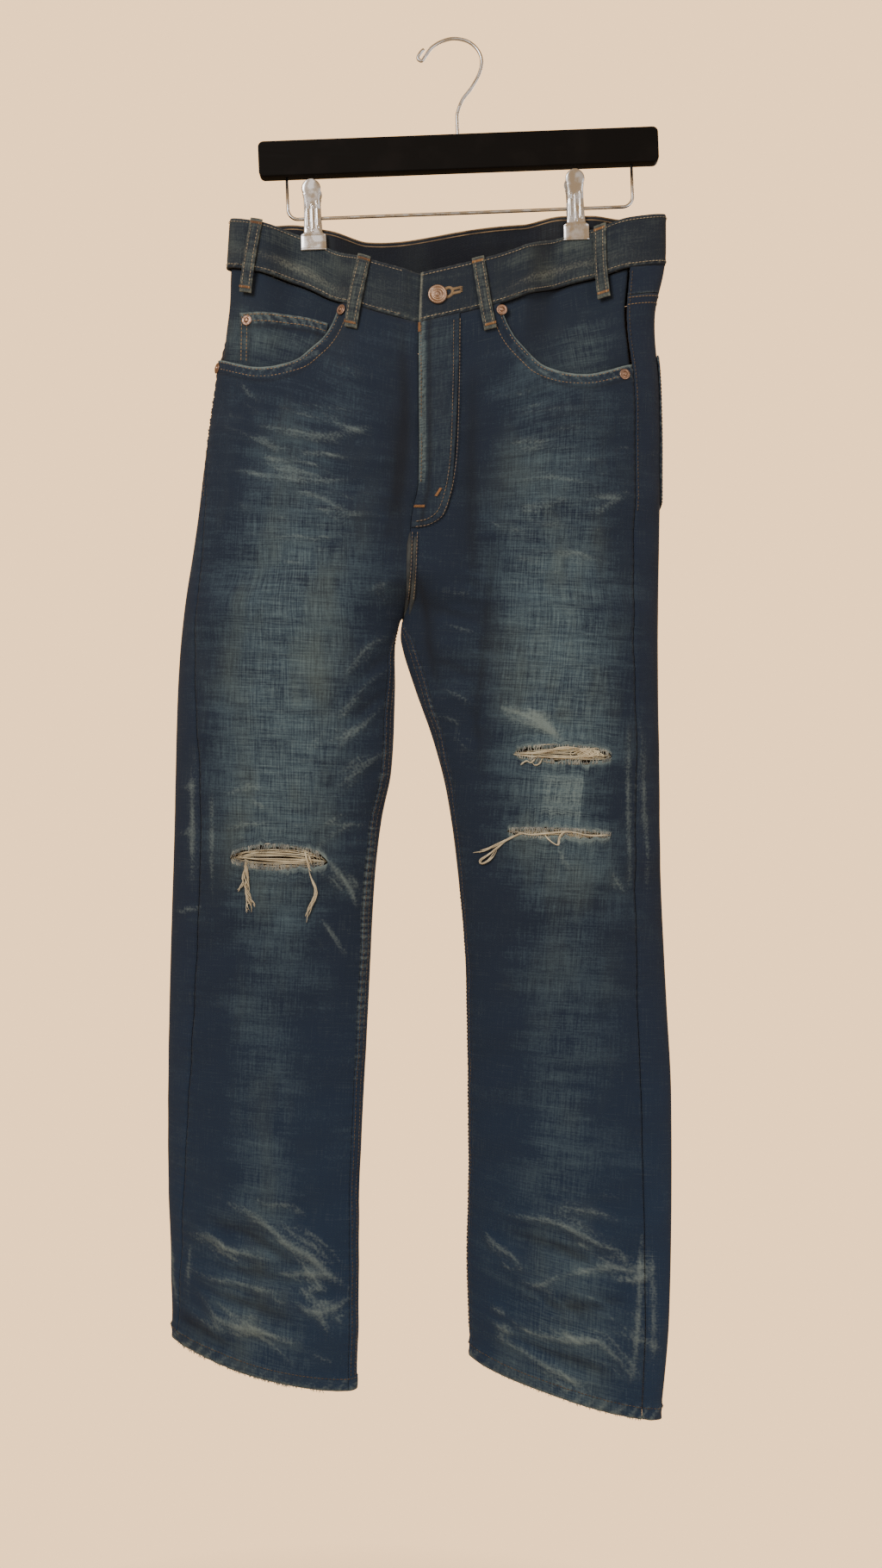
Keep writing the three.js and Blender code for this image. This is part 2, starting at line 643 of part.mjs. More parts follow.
const RIVET_PROFILE = [[0, 0], [4.8, 0], [4.8, 0.5], [3.4, 1.2], [2, 1.3], [1.2, 2], [0, 2.1]];
const RIVET_SIDES = 12;

function addRivet(name, leg, turn, drop, lift) {
  addTurned(name, RIVET_PROFILE, leg, turn, drop, lift + SEAM_GAP, RIVET_SIDES);
}

// The pocket's lower rivet sits just inside the side seam.
function addPocketRivets(leg, upperReach) {
  const upperDrop = 52;
  const lowerDrop = 140;
  const inset = 8;
  const upperTurn = frontTurn(leg, upperReach, upperDrop);
  addRivet(`rivet_pocket_top_${leg.name}`, leg, upperTurn, upperDrop, POCKET_LIFT);
  addRivet(`rivet_pocket_side_${leg.name}`, leg, outseam(leg, lowerDrop, inset), lowerDrop, POCKET_LIFT);
}
addPocketRivets(RIGHT, 69.5);
addPocketRivets(LEFT, 73);

function addCoinRivet(leg) {
  const corner = { reach: 156, drop: 92 };
  const lift = FACING_LIFT + SEAM_GAP + COIN_POCKET;
  addRivet('rivet_coin_pocket', leg, frontTurn(leg, corner.reach, corner.drop), corner.drop, lift);
}
addCoinRivet(RIGHT);

// ---- Hanger: a black wooden bar, a hook, a wire frame below it and two clips ----
// Its own frame has the bar level. The whole hanger leans on its hook, left end up.

const HANGER_LEAN = THREE.MathUtils.degToRad(4.5);
const BAR = { length: 360, height: 32, thickness: 12, top: -86.5, corner: 5, bevel: 1.5 };
const WIRE_RADIUS = 1.5;
const FRAME = { half: 155.5, level: -156, corner: 9 };

const hanger = new THREE.Group();
hanger.rotation.y = -HANGER_LEAN;
jeans.add(hanger);

function addBar() {
  const half = BAR.length / 2 - BAR.bevel;
  const low = -BAR.height + BAR.bevel;
  const high = -BAR.bevel;
  const r = BAR.corner;
  const outline = new THREE.Shape();
  outline.absarc(half - r, high - r, r, 0, Math.PI / 2);
  outline.absarc(-half + r, high - r, r, Math.PI / 2, Math.PI);
  outline.absarc(-half + r, low + r, r, Math.PI, 1.5 * Math.PI);
  outline.absarc(half - r, low + r, r, 1.5 * Math.PI, 2 * Math.PI);
  const depth = BAR.thickness - 2 * BAR.bevel;
  const rounding = { bevelSize: BAR.bevel, bevelThickness: BAR.bevel, bevelSegments: 2, curveSegments: 3 };
  const geometry = new THREE.ExtrudeGeometry(outline, { depth, ...rounding });
  geometry.rotateX(Math.PI / 2);
  geometry.translate(0, depth / 2, BAR.top);
  addMesh(hanger, 'hanger_bar', geometry, BLACK_WOOD);
}
addBar();

// A round rod bent in the hanger's plane, through points [x, z].
function addRod(name, points) {
  const sides = 8;
  const ring = evenly(0, 2 * Math.PI, sides).slice(0, sides);
  const positions = [];
  const triangles = [];
  points.forEach(([x, z], k) => {
    const [xa, za] = points[Math.max(k - 1, 0)];
    const [xb, zb] = points[Math.min(k + 1, points.length - 1)];
    const heading = new THREE.Vector2(xb - xa, zb - za).normalize();
    ring.forEach((angle) => {
      const across = WIRE_RADIUS * Math.cos(angle);
      positions.push(x + heading.y * across, WIRE_RADIUS * Math.sin(angle), z - heading.x * across);
    });
  });
  for (let k = 0; k < points.length - 1; k += 1) {
    for (let s = 0; s < sides; s += 1) {
      const a = k * sides + s;
      const b = k * sides + (s + 1) % sides;
      triangles.push(a, b, b + sides, a, b + sides, a + sides);
    }
  }
  const last = (points.length - 1) * sides;
  for (let s = 1; s < sides - 1; s += 1) triangles.push(0, s + 1, s, last, last + s, last + s + 1);
  if (volumeOf(positions, triangles) < 0) triangles.reverse();
  const geometry = new THREE.BufferGeometry();
  geometry.setAttribute('position', new THREE.Float32BufferAttribute(positions, 3));
  geometry.setIndex(triangles);
  geometry.computeVertexNormals();
  addMesh(hanger, name, geometry, CHROME);
}

// The hook rises from the bar, swings out to the left and closes over the rail.
const HOOK_ROUTE = [[0, -64], [5.5, -54], [14, -43.5], [21.5, -31], [24.2, -19.5], [21, -9.5],
  [12.5, -1.6], [0, WIRE_RADIUS], [-11, -0.6], [-20.5, -6], [-26.5, -13.5], [-30, -17.6],
  [-33.2, -15], [-31, -10.5], [-27.5, -7]];
const HOOK_STEPS = 42;

function addHook() {
  const route = new THREE.CatmullRomCurve3(HOOK_ROUTE.map(([x, z]) => new THREE.Vector3(x, 0, z)));
  const bend = route.getPoints(HOOK_STEPS).map((point) => [point.x, point.z]);
  addRod('hanger_hook', [[0, BAR.top + SEAM_GAP], ...bend]);
}
addHook();

function addFrame() {
  const corner = (side, from) => evenly(from, from + Math.PI / 2, 4).map((angle) => [
    side * (FRAME.half - FRAME.corner) + FRAME.corner * Math.cos(angle),
    FRAME.level + FRAME.corner + FRAME.corner * Math.sin(angle)]);
  const top = BAR.top - BAR.height - SEAM_GAP;
  const corners = [...corner(-1, Math.PI), ...corner(1, 1.5 * Math.PI)];
  addRod('hanger_wire', [[-FRAME.half, top], ...corners, [FRAME.half, top]]);
}
addFrame();

// Each clip is two pressed leaves sprung together on the wire.
// A row is [height over the wire, half width, distance of the outer face from the wire's plane].
const LEAF_ROWS = [[32.5, 2.6, 9.4], [31, 5.2, 9.3], [28, 7.6, 9.1], [24, 8.6, 8.8], [19.5, 7.9, 8.2],
  [15.5, 7.2, 7.4], [7, 7.3, 5.6], [-8, 7.9, 5.3], [-13.6, 8.4, 5], [-16.2, 11.4, 4.8],
  [-29.5, 11.6, 4.5]];
const LEAF_THICKNESS = 1.2;
const SPRING = { inner: 1.9, outer: 3.6, length: 11, sides: 14 };
const JAW_DROP = 22;

function addLeaf(name, x, facing) {
  const point = (i, j, inside) => {
    const [height, halfWidth, off] = LEAF_ROWS[j];
    const depth = inside ? off - LEAF_THICKNESS : off;
    return new THREE.Vector3(x + (i - 1) * halfWidth, facing * depth, FRAME.level + height);
  };
  addMesh(hanger, name, wall(3, LEAF_ROWS.length, point), CHROME);
}

function addSpring(name, x) {
  const { inner, outer, length, sides } = SPRING;
  const half = length / 2;
  const profile = [[inner, -half], [outer, -half], [outer, half], [inner, half], [inner, -half]];
  const geometry = new THREE.LatheGeometry(profile.map(([r, h]) => new THREE.Vector2(r, h)), sides);
  const mesh = addMesh(hanger, name, geometry, CHROME);
  mesh.rotation.z = Math.PI / 2;
  mesh.position.set(x, 0, FRAME.level);
}

// Where a clip stands along the wire, so that its jaws meet the waist at the clip's own x.
function alongWire(x) {
  const jawLevel = FRAME.level - JAW_DROP;
  return (x + jawLevel * Math.sin(HANGER_LEAN)) / Math.cos(HANGER_LEAN);
}

for (const side of ['right', 'left']) {
  const x = alongWire(CLIP_X[side]);
  addLeaf(`clip_front_leaf_${side}`, x, -1);
  addLeaf(`clip_back_leaf_${side}`, x, 1);
  addSpring(`clip_spring_${side}`, x);
}

export default jeans;
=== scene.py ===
import math

import bpy
import numpy as np
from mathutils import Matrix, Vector


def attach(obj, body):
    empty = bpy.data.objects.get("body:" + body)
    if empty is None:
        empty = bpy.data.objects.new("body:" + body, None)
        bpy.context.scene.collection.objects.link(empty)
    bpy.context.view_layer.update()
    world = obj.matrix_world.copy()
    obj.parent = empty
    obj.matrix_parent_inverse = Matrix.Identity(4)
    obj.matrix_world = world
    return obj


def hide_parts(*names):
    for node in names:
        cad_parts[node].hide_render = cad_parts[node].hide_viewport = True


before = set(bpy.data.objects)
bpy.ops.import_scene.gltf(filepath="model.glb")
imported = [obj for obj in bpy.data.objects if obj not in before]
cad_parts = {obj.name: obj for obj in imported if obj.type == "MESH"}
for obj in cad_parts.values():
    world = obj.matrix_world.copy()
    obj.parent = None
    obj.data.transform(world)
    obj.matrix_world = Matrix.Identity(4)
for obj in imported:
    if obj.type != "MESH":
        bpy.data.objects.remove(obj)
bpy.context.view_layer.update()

# ---- Camera ----
# It looks level at the jeans from 1.3 m in front of the hanger, about half way down them, and
# leans a little to its left.
LENS_MM = 33.1
CAMERA_PLACE = (0.0152, -1.3, -0.6705)
CAMERA_LEAN = math.radians(-2.3)
camera_data = bpy.data.cameras.new("camera")
camera_data.lens = LENS_MM
camera = bpy.data.objects.new("camera", camera_data)
camera.location = CAMERA_PLACE
camera.rotation_euler = (math.radians(90), CAMERA_LEAN, 0)
bpy.context.scene.collection.objects.link(camera)
bpy.context.scene.camera = camera

# ---- Studio ----
# A pale round floor well below the jeans, which fades out towards its rim, a plain warm
# background, and three large soft lights: one from each side in front and one from behind.
FLOOR_LEVEL = -1.95
FLOOR_RADIUS = 1.15
FLOOR_SIDES = 96
FLOOR_FADE = (0.5, 0.98)
FLOOR_COLOUR = (0.72, 0.66, 0.6, 1)
BACKGROUND = (2.25, 1.42, 0.74)
AMBIENT = 0.24


class Value:
    """A number, colour or vector inside a material, with the arithmetic that its maths needs."""

    def __init__(self, finish, socket):
        self.finish = finish
        self.socket = socket

    def maths(self, operation, first, second=0.0):
        return self.finish.node("Math", {"operation": operation}, {0: first, 1: second})

    def __add__(self, other):
        return self.maths("ADD", self, other)

    __radd__ = __add__

    def __sub__(self, other):
        return self.maths("SUBTRACT", self, other)

    def __rsub__(self, other):
        return self.maths("SUBTRACT", other, self)

    def __mul__(self, other):
        return self.maths("MULTIPLY", self, other)

    __rmul__ = __mul__

    def sine(self):
        return self.maths("SINE", self)

    def between(self, low, high):
        """0 below low, 1 above high and even between them."""
        ends = {"From Min": low, "From Max": high}
        return self.finish.node("MapRange", {"clamp": True}, {"Value": self, **ends})


class Finish:
    """A material or world being made out of nodes."""

    def __init__(self, tree):
        self.tree = tree
        self.tree.nodes.clear()

    def node(self, kind, settings=None, sockets=None, output=0):
        made = self.tree.nodes.new("ShaderNode" + kind)
        for name, value in (settings or {}).items():
            setattr(made, name, value)
        for name, value in (sockets or {}).items():
            if isinstance(value, Value):
                self.tree.links.new(value.socket, made.inputs[name])
            else:
                made.inputs[name].default_value = value
        return Value(self, made.outputs[output]) if made.outputs else None

    def mix(self, first, second, share):
        """A colour that goes from the first to the second as share goes from 0 to 1."""
        colours = [c if isinstance(c, Value) else (*c, 1) for c in (first, second)]
        sockets = {0: share, 6: colours[0], 7: colours[1]}
        return self.node("Mix", {"data_type": "RGBA"}, sockets, output=2)

    def stretched(self, vector, scale):
        return self.node("VectorMath", {"operation": "MULTIPLY"}, {0: vector, 1: scale})

    def noise(self, vector, scale, detail=2.0):
        sockets = {"Vector": self.stretched(vector, scale), "Scale": 1.0, "Detail": detail}
        return self.node("TexNoise", None, sockets)


def new_material(name):
    material = bpy.data.materials.new(name)
    material.use_nodes = True
    return material, Finish(material.node_tree)


def surface(finish, colour, roughness, metallic=0.0, bump=None, bump_depth=0.0, sheen=0.0, specular=0.5):
    """The shader of an opaque surface, whose bump is a height between 0 and 1."""
    base = colour if isinstance(colour, Value) else (*colour, 1)
    sockets = {"Base Color": base, "Roughness": roughness, "Metallic": metallic, "Sheen Weight": sheen}
    sockets["Specular IOR Level"] = specular
    if bump is not None:
        height = {"Height": bump, "Distance": bump_depth, "Strength": 1.0}
        sockets["Normal"] = finish.node("Bump", None, height)
    shader = finish.node("BsdfPrincipled", None, sockets)
    finish.node("OutputMaterial", None, {"Surface": shader})


def add_floor():
    angles = np.linspace(0, math.tau, FLOOR_SIDES, endpoint=False)
    rim = [(FLOOR_RADIUS * math.cos(a), FLOOR_RADIUS * math.sin(a), FLOOR_LEVEL) for a in angles]
    mesh = bpy.data.meshes.new("floor")
    mesh.from_pydata(rim, [], [list(range(FLOOR_SIDES))])
    floor = bpy.data.objects.new("floor", mesh)
    bpy.context.scene.collection.objects.link(floor)
    material, finish = new_material("floor")
    place = finish.node("TexCoord", None, None, output="Object")
    level = finish.stretched(place, (1, 1, 0))
    out = finish.node("VectorMath", {"operation": "LENGTH"}, {0: level}, "Value")
    pale = finish.node("BsdfDiffuse", None, {"Color": FLOOR_COLOUR})
    clear = finish.node("BsdfTransparent")
    edge = out.between(*(share * FLOOR_RADIUS for share in FLOOR_FADE))
    faded = finish.node("MixShader", None, {0: edge, 1: pale, 2: clear})
    finish.node("OutputMaterial", None, {"Surface": faded})
    mesh.materials.append(material)


def add_world():
    world = bpy.data.worlds.new("studio")
    world.use_nodes = True
    bpy.context.scene.world = world
    finish = Finish(world.node_tree)
    seen = finish.node("LightPath", None, None, output="Is Camera Ray")
    strength = seen * (1 - AMBIENT) + AMBIENT
    light = finish.node("Background", None, {"Color": (*BACKGROUND, 1), "Strength": strength})
    finish.node("OutputWorld", None, {"Surface": light})


def add_light(name, place, target, size, watts, colour):
    data = bpy.data.lights.new(name, "AREA")
    data.size = size
    data.energy = watts
    data.color = colour
    light = bpy.data.objects.new(name, data)
    light.location = place
    light.rotation_euler = (Vector(target) - Vector(place)).to_track_quat("-Z", "Y").to_euler()
    bpy.context.scene.collection.objects.link(light)


add_floor()
add_world()
add_light("key", (-1.1, -1.7, 0.35), (0, 0, -0.55), 0.9, 30, (1.0, 0.95, 0.9))
add_light("fill", (1.5, -1.5, -0.5), (0, 0, -0.7), 1.4, 12, (0.93, 0.96, 1.0))
add_light("behind", (0.9, 1.7, 0.3), (0, 0, -0.6), 1.2, 22, (1.0, 0.96, 0.92))

# ---- Front panels ----
# Two legs of 14 oz denim, each cut in one piece from the pocket mouth to the hem and sewn to its
# back down both seams. They are faded over the thighs, creased at the hips and hems, and torn open
# across the knees.

# The garment's sizes are in millimetres, and MM takes them into the scene. A drop is a length down
# the cloth from the waist's top edge. A turn goes once round one leg: 0 at the centre back, 1 at
# the outer fold, 2 at the centre front.
MM = 0.001
WAIST_BELOW_HOOK = 160
BAND_HEIGHT = 45
CROTCH_DROP = 364
HEM_HEIGHT = 12
DENIM = 1.4
SEAM_GAP = 0.3
# One leg's outline, as (drop, x) down its two folds, and its seams, as (drop, turns from a fold).
RIGHT = {
    "side": -1, "name": "right", "hem": 1036, "hem_slope": -0.135, "hem_sag": 7,
    "outer": [(0, -195), (45, -196), (90, -197), (150, -202), (215, -208), (290, -214), (364, -222),
              (430, -225), (580, -223), (860, -221), (960, -217), (1040, -213)],
    "inner": [(364, -27), (384, -31), (430, -29.5), (500, -30), (545, -37), (600, -41), (700, -42),
              (860, -42), (960, -37), (1040, -35)],
    "outseam": [(0, -0.17), (45, -0.154), (120, -0.05), (180, 0.04), (290, 0.13), (430, 0.197),
                (580, 0.25), (860, 0.223), (1040, 0.144)],
    "inseam": [(364, 0.03), (400, 0.105), (500, 0.135), (700, 0.135), (1040, 0.107)],
}
LEFT = {
    "side": 1, "name": "left", "hem": 1047, "hem_slope": -0.19, "hem_sag": 4,
    "outer": [(0, 197), (45, 198), (90, 191), (150, 197), (215, 201), (364, 205), (430, 208),
              (500, 212), (580, 216), (700, 226), (780, 233), (960, 239), (1050, 235)],
    "inner": [(364, -26), (384, -26), (425, -12), (470, 6), (516, 20), (580, 32), (675, 44),
              (860, 53), (960, 54), (1050, 60)],
    "outseam": [(0, 0.258), (45, 0.254), (120, 0.223), (290, 0.217), (430, 0.21), (580, 0.24),
                (760, 0.255), (1050, 0.19)],
    "inseam": [(364, 0.03), (384, 0.14), (450, 0.14), (580, 0.105), (1050, 0.095)],
}
LEGS = (RIGHT, LEFT)
CENTRE_FRONT = [(0, -21), (45, -21), (110, -18.5), (230, -15.5), (270, -20), (340, -21), (364, -25)]
CENTRE_BACK = [(0, 7), (45, 7), (150, 0), (250, -12), (364, -26)]
FRONT_DEPTH = [(0, 24), (45, 26), (90, 30), (150, 34), (290, 35), (430, 30), (580, 24), (860, 20),
               (1050, 20)]
BACK_DEPTH = [(0, 20), (45, 24), (90, 32), (150, 40), (215, 45), (290, 44), (430, 34), (580, 27),
              (860, 21), (1050, 17)]
ROUNDNESS = 2.2
WAIST_SLOPE, WAIST_SLOPE_ENDS = 0.05, 300
FRONT_SAG, FRONT_SAG_SHAPE = 58, [(0, 1), (0.33, 0.7), (0.6, 0.31), (0.8, 0.15), (1, 0)]
BACK_SAG, BACK_SAG_CENTRE, BACK_SAG_REACH = 16, -60, 75
SAG_FADE = (60, 330)
CLIP_X = {"right": -119, "left": 117}
PRESSED_DEPTH, PRESSED_HALF_WIDTH, PRESSED_EASE, PRESSED_FADE = 2.2, 13, 34, (14, 160)
CROTCH_CLOSES = 322
TURN_STEP, DROP_STEP = 0.006, 1
LEG_TWIST, TWIST_FADE, HEM_FADE = math.radians(15), (600, 1040), (700, 1040)
POCKET_MOUTH = [(71, 45), (75, 58), (85, 83), (97, 103), (109, 119), (128, 131), (147, 136),
                (165, 135), (183, 132), (230, 130)]


def ease(value, low, high):
    share = np.clip((value - low) / (high - low), 0, 1)
    return share * share * (3 - 2 * share)


def lerp(low, high, share):
    return low + (high - low) * share


def evenly(count):
    """Even shares from 0 to 1."""
    return np.linspace(0, 1, count)


def unit(vectors):
    return vectors / np.maximum(np.linalg.norm(vectors, axis=-1, keepdims=True), 1e-9)


def along(knots, at):
    """A smooth line through knots (at, value)."""
    places, values = np.array(knots, float).T
    slopes = np.gradient(values, places)
    slopes[1:-1] = (values[2:] - values[:-2]) / (places[2:] - places[:-2])
    k = np.clip(np.searchsorted(places, at) - 1, 0, len(places) - 2)
    width = places[k + 1] - places[k]
    t = np.clip((at - places[k]) / width, 0, 1)
    leave, arrive, rise = slopes[k] * width, slopes[k + 1] * width, values[k + 1] - values[k]
    bend = 3 * rise - 2 * leave - arrive + t * (leave + arrive - 2 * rise)
    return values[k] + t * (leave + t * bend)


def crown(across):
    inside = 1 - np.minimum(np.abs(across), 1) ** ROUNDNESS
    return inside ** (1 / ROUNDNESS)


def inner_edge(leg, front, drop):
    body = np.where(front, along(CENTRE_FRONT, drop), along(CENTRE_BACK, drop))
    return np.where(drop < CROTCH_DROP, body, along(leg["inner"], drop))


def sag(x, front, drop):
    """How far the top edge sags below the straight waist line."""
    fade = 1 - ease(drop, *SAG_FADE)
    centre = along(CENTRE_FRONT, drop)
    edge = np.where(x < centre, along(RIGHT["outer"], drop), along(LEFT["outer"], drop))
    share = np.clip((x - centre) / (edge - centre), 0, 1)
    behind = BACK_SAG * np.exp(-(((x - BACK_SAG_CENTRE) / BACK_SAG_REACH) ** 2))
    return fade * np.where(front, FRONT_SAG * along(FRONT_SAG_SHAPE, share), behind)


def body_depth(x, drop, full):
    low, high = along(RIGHT["outer"], drop), along(LEFT["outer"], drop)
    depth = full * crown((2 * x - low - high) / (high - low))
    free = 1
    for clip in CLIP_X.values():
        free = free * ease(np.abs(x - clip) - PRESSED_HALF_WIDTH, 0, PRESSED_EASE)
    held = PRESSED_DEPTH + (depth - PRESSED_DEPTH) * free
    pressed = lerp(held, depth, ease(drop, *PRESSED_FADE))
    return np.where(depth < PRESSED_DEPTH, depth, pressed)


def flat_place(leg, turn, drop):
    """Where a turn stands on the flat outline, and whether it is in front."""
    round_leg = np.where(drop > CROTCH_DROP, np.mod(turn, 2), turn)
    front = round_leg > 1
    share = (1 - np.cos(math.pi * np.abs(round_leg - 1))) / 2
    outer, inner = along(leg["outer"], drop), inner_edge(leg, front, drop)
    return outer + (inner - outer) * share, share, front, outer, inner


def face(leg, turn, drop):
    """A point on the outer face of the cloth, in millimetres."""
    x, share, front, outer, inner = flat_place(leg, turn, drop)
    is_leg = drop > CROTCH_DROP
    full = np.where(front, along(FRONT_DEPTH, drop), along(BACK_DEPTH, drop))
    leg_depth = full * crown(2 * share - 1)
    body = lerp(body_depth(x, drop, full), leg_depth, ease(drop, CROTCH_CLOSES, CROTCH_DROP))
    depth = np.where(is_leg, leg_depth, body)
    y = np.where(front, -depth, depth)
    slope = WAIST_SLOPE * (1 - ease(drop, 0, WAIST_SLOPE_ENDS))
    centre = (outer + inner) / 2
    twist = LEG_TWIST * ease(drop, *TWIST_FADE) * is_leg
    bow = 1 - (2 * share - 1) ** 2
    lean = (leg["hem_slope"] * (x - centre) - leg["hem_sag"] * bow) * ease(drop, *HEM_FADE)
    z = -WAIST_BELOW_HOOK - drop + np.where(is_leg, lean, slope * x - sag(x, front, drop))
    cos, sin = np.cos(twist), np.sin(twist)
    return np.stack([centre + (x - centre) * cos + y * sin, y * cos - (x - centre) * sin, z], -1)


def turns_around(turn, drop):
    """Two turns just before and just after this one, which stop at the body's centre seams."""
    is_leg = drop > CROTCH_DROP
    before, after = turn - TURN_STEP, turn + TURN_STEP
    before = np.where(is_leg, before, np.maximum(before, 0))
    return before, np.where(is_leg, after, np.minimum(after, 2))


def cloth(leg, turn, drop, lift=0.0):
    """Points on the cloth, lifted off its outer face along the normal, and the normals."""
    turn, drop = np.broadcast_arrays(np.asarray(turn, float), np.asarray(drop, float))
    before, after = turns_around(turn, drop)
    is_leg = drop > CROTCH_DROP
    above, below = drop - DROP_STEP, drop + DROP_STEP
    above = np.where(is_leg, np.maximum(above, CROTCH_DROP + 0.1), above)
    below = np.where(is_leg, below, np.minimum(below, CROTCH_DROP))
    across = face(leg, after, drop) - face(leg, before, drop)
    down = face(leg, turn, below) - face(leg, turn, above)
    normal = unit(np.cross(down, across) * -leg["side"])
    return face(leg, turn, drop) + normal * np.asarray(lift)[..., None], normal


def turn_at(leg, x, drop, front):
    """The turn at which the flat outline stands at x."""
    outer, inner = along(leg["outer"], drop), inner_edge(leg, front, drop)
    swing = np.arccos(1 - 2 * np.clip((x - outer) / (inner - outer), 0, 1)) / math.pi
    return 1 + swing if front else 1 - swing


def nudge(leg, turn, drop, length):
    """Moves a turn round the cloth by a length."""
    before, after = turns_around(turn, drop)
    span = np.linalg.norm(face(leg, after, drop) - face(leg, before, drop), axis=-1)
    return turn + length * (after - before) / span


def outseam(leg, drop, gap=0.0):
    return nudge(leg, 1 + along(leg["outseam"], drop), drop, gap)


def front_inner(leg, drop):
    """The front panel's inner edge: the centre front, then the inseam."""
    body = turn_at(leg, along(CENTRE_FRONT, drop) + leg["side"] * SEAM_GAP / 2, drop, True)
    seam = nudge(leg, 2 - along(leg["inseam"], drop), drop, -SEAM_GAP / 2)
    return np.where(drop < CROTCH_DROP, body, seam)


def back_inner(leg, drop):
    """The back panel's inner edge: the centre back, then the inseam, reached round the inner fold."""
    body = turn_at(leg, along(CENTRE_BACK, drop) + leg["side"] * SEAM_GAP / 2, drop, False)
    seam = nudge(leg, front_inner(leg, drop), drop, SEAM_GAP) - 2
    return np.where(drop < CROTCH_DROP, body, seam)


def front_turn(leg, distance, drop):
    return turn_at(leg, along(CENTRE_FRONT, drop) + leg["side"] * distance, drop, True)


def reach(leg, turn, drop):
    """How far round the front a turn lies from the centre front, carried on past the outer fold."""
    share = (1 - np.cos(math.pi * np.abs(turn - 1))) / 2
    to_fold = np.abs(along(leg["outer"], drop) - along(CENTRE_FRONT, drop))
    return to_fold * np.where(turn > 1, 1 - share, 1 + share)


def mouth_drop(leg, line):
    """The drop at which a line down the cloth, turn(drop), meets the pocket's mouth."""
    drop = BAND_HEIGHT + 0 * line(BAND_HEIGHT)
    for _ in range(40):
        distance = reach(leg, line(drop), drop)
        target = np.where(distance < POCKET_MOUTH[0][0], BAND_HEIGHT, along(POCKET_MOUTH, distance))
        drop = drop + (target - drop) * 0.4
    return drop


# Folds and worn ridges that show, as (width, height, paleness, [(x, drop), ...]), where x is the
# flat outline's own. A height below nought is a trough, and a paleness below nought is a shadow.
WHISKERS_AND_SHADOWS = {"right": [
    (4, 0.8, 0.5, [(-97, 129), (-72, 114), (-42, 108)]),
    (4, 0.6, 0.45, [(-130, 167), (-96, 158), (-60, 150)]),
    (4, 0.8, 0.6, [(-175, 149), (-170, 162), (-156, 170)]),
    (3, 0.6, 0.6, [(-169, 178), (-150, 181)]),
    (5, 1.1, 0.75, [(-168, 190), (-139, 194), (-101, 190), (-71, 175), (-53, 158)]),
    (4, 0.8, 0.6, [(-192, 195), (-160, 206), (-141, 216)]),
    (3, 0.6, 0.5, [(-192, 184), (-170, 188)]),
    (5, 1.1, 0.7, [(-179, 235), (-146, 240), (-99, 239), (-62, 227)]),
    (5, 1.0, 0.7, [(-120, 253), (-95, 260), (-76, 270), (-52, 270), (-34, 278)]),
    (4, 0.7, 0.6, [(-175, 269), (-161, 272)]),
    (4, 0.7, 0.5, [(-150, 296), (-118, 300), (-80, 292)]),
    (5, 1.2, 0.6, [(-32, 332), (-58, 343)]),
    (5, 1.5, 0.85, [(-34, 379), (-54, 391), (-70, 412), (-77, 424)]),
    (5, 1.5, 0.85, [(-33, 409), (-47, 418), (-63, 434), (-70, 446)]),
    (5, 1.5, 0.8, [(-32, 436), (-43, 447), (-57, 462), (-69, 473), (-79, 487)]),
    (5, 1.3, 0.7, [(-35, 482), (-63, 505), (-80, 520)]),
    (9, -1.2, -0.7, [(-36, 395), (-56, 412), (-66, 428)]),
    (9, -1.2, -0.7, [(-34, 424), (-52, 442), (-66, 460)]),
    (11, -1.4, -0.55, [(-36, 150), (-32, 231), (-27, 345)]),
], "left": [
    (4, 0.7, 0.5, [(38, 137), (64, 136)]),
    (4, 0.8, 0.55, [(60, 160), (105, 164), (132, 170)]),
    (4, 0.7, 0.5, [(57, 204), (90, 200), (130, 206)]),
    (4, 0.8, 0.5, [(50, 236), (96, 231), (150, 240)]),
    (5, 1.0, 0.7, [(68, 265), (90, 262), (109, 254), (124, 253)]),
    (5, 1.0, 0.7, [(128, 268), (150, 259), (165, 251)]),
    (4, 0.8, 0.6, [(89, 277), (121, 275)]),
    (4, 0.8, 0.6, [(137, 282), (161, 276)]),
    (4, 0.8, 0.5, [(80, 306), (120, 301), (158, 309)]),
    (5, 1.3, 0.6, [(30, 323), (43, 328), (55, 334)]),
    (5, 1.3, 0.65, [(2, 342), (15, 341), (55, 346)]),
    (5, 1.4, 0.7, [(5, 366), (24, 372), (48, 378)]),
    (5, 1.2, 0.7, [(14, 426), (32, 434), (46, 440)]),
    (5, 1.1, 0.6, [(24, 469), (35, 476), (47, 482)]),
    (5, 1.2, 0.75, [(67, 441), (75, 450), (88, 454), (104, 458), (119, 467)]),
    (12, -1.8, -0.9, [(29, 103), (31, 231), (38, 350)]),
    (9, -1.0, -0.6, [(-12, 350), (10, 356), (40, 362)]),
    (10, -1.2, -0.6, [(6, 400), (26, 408), (44, 418)]),
]}
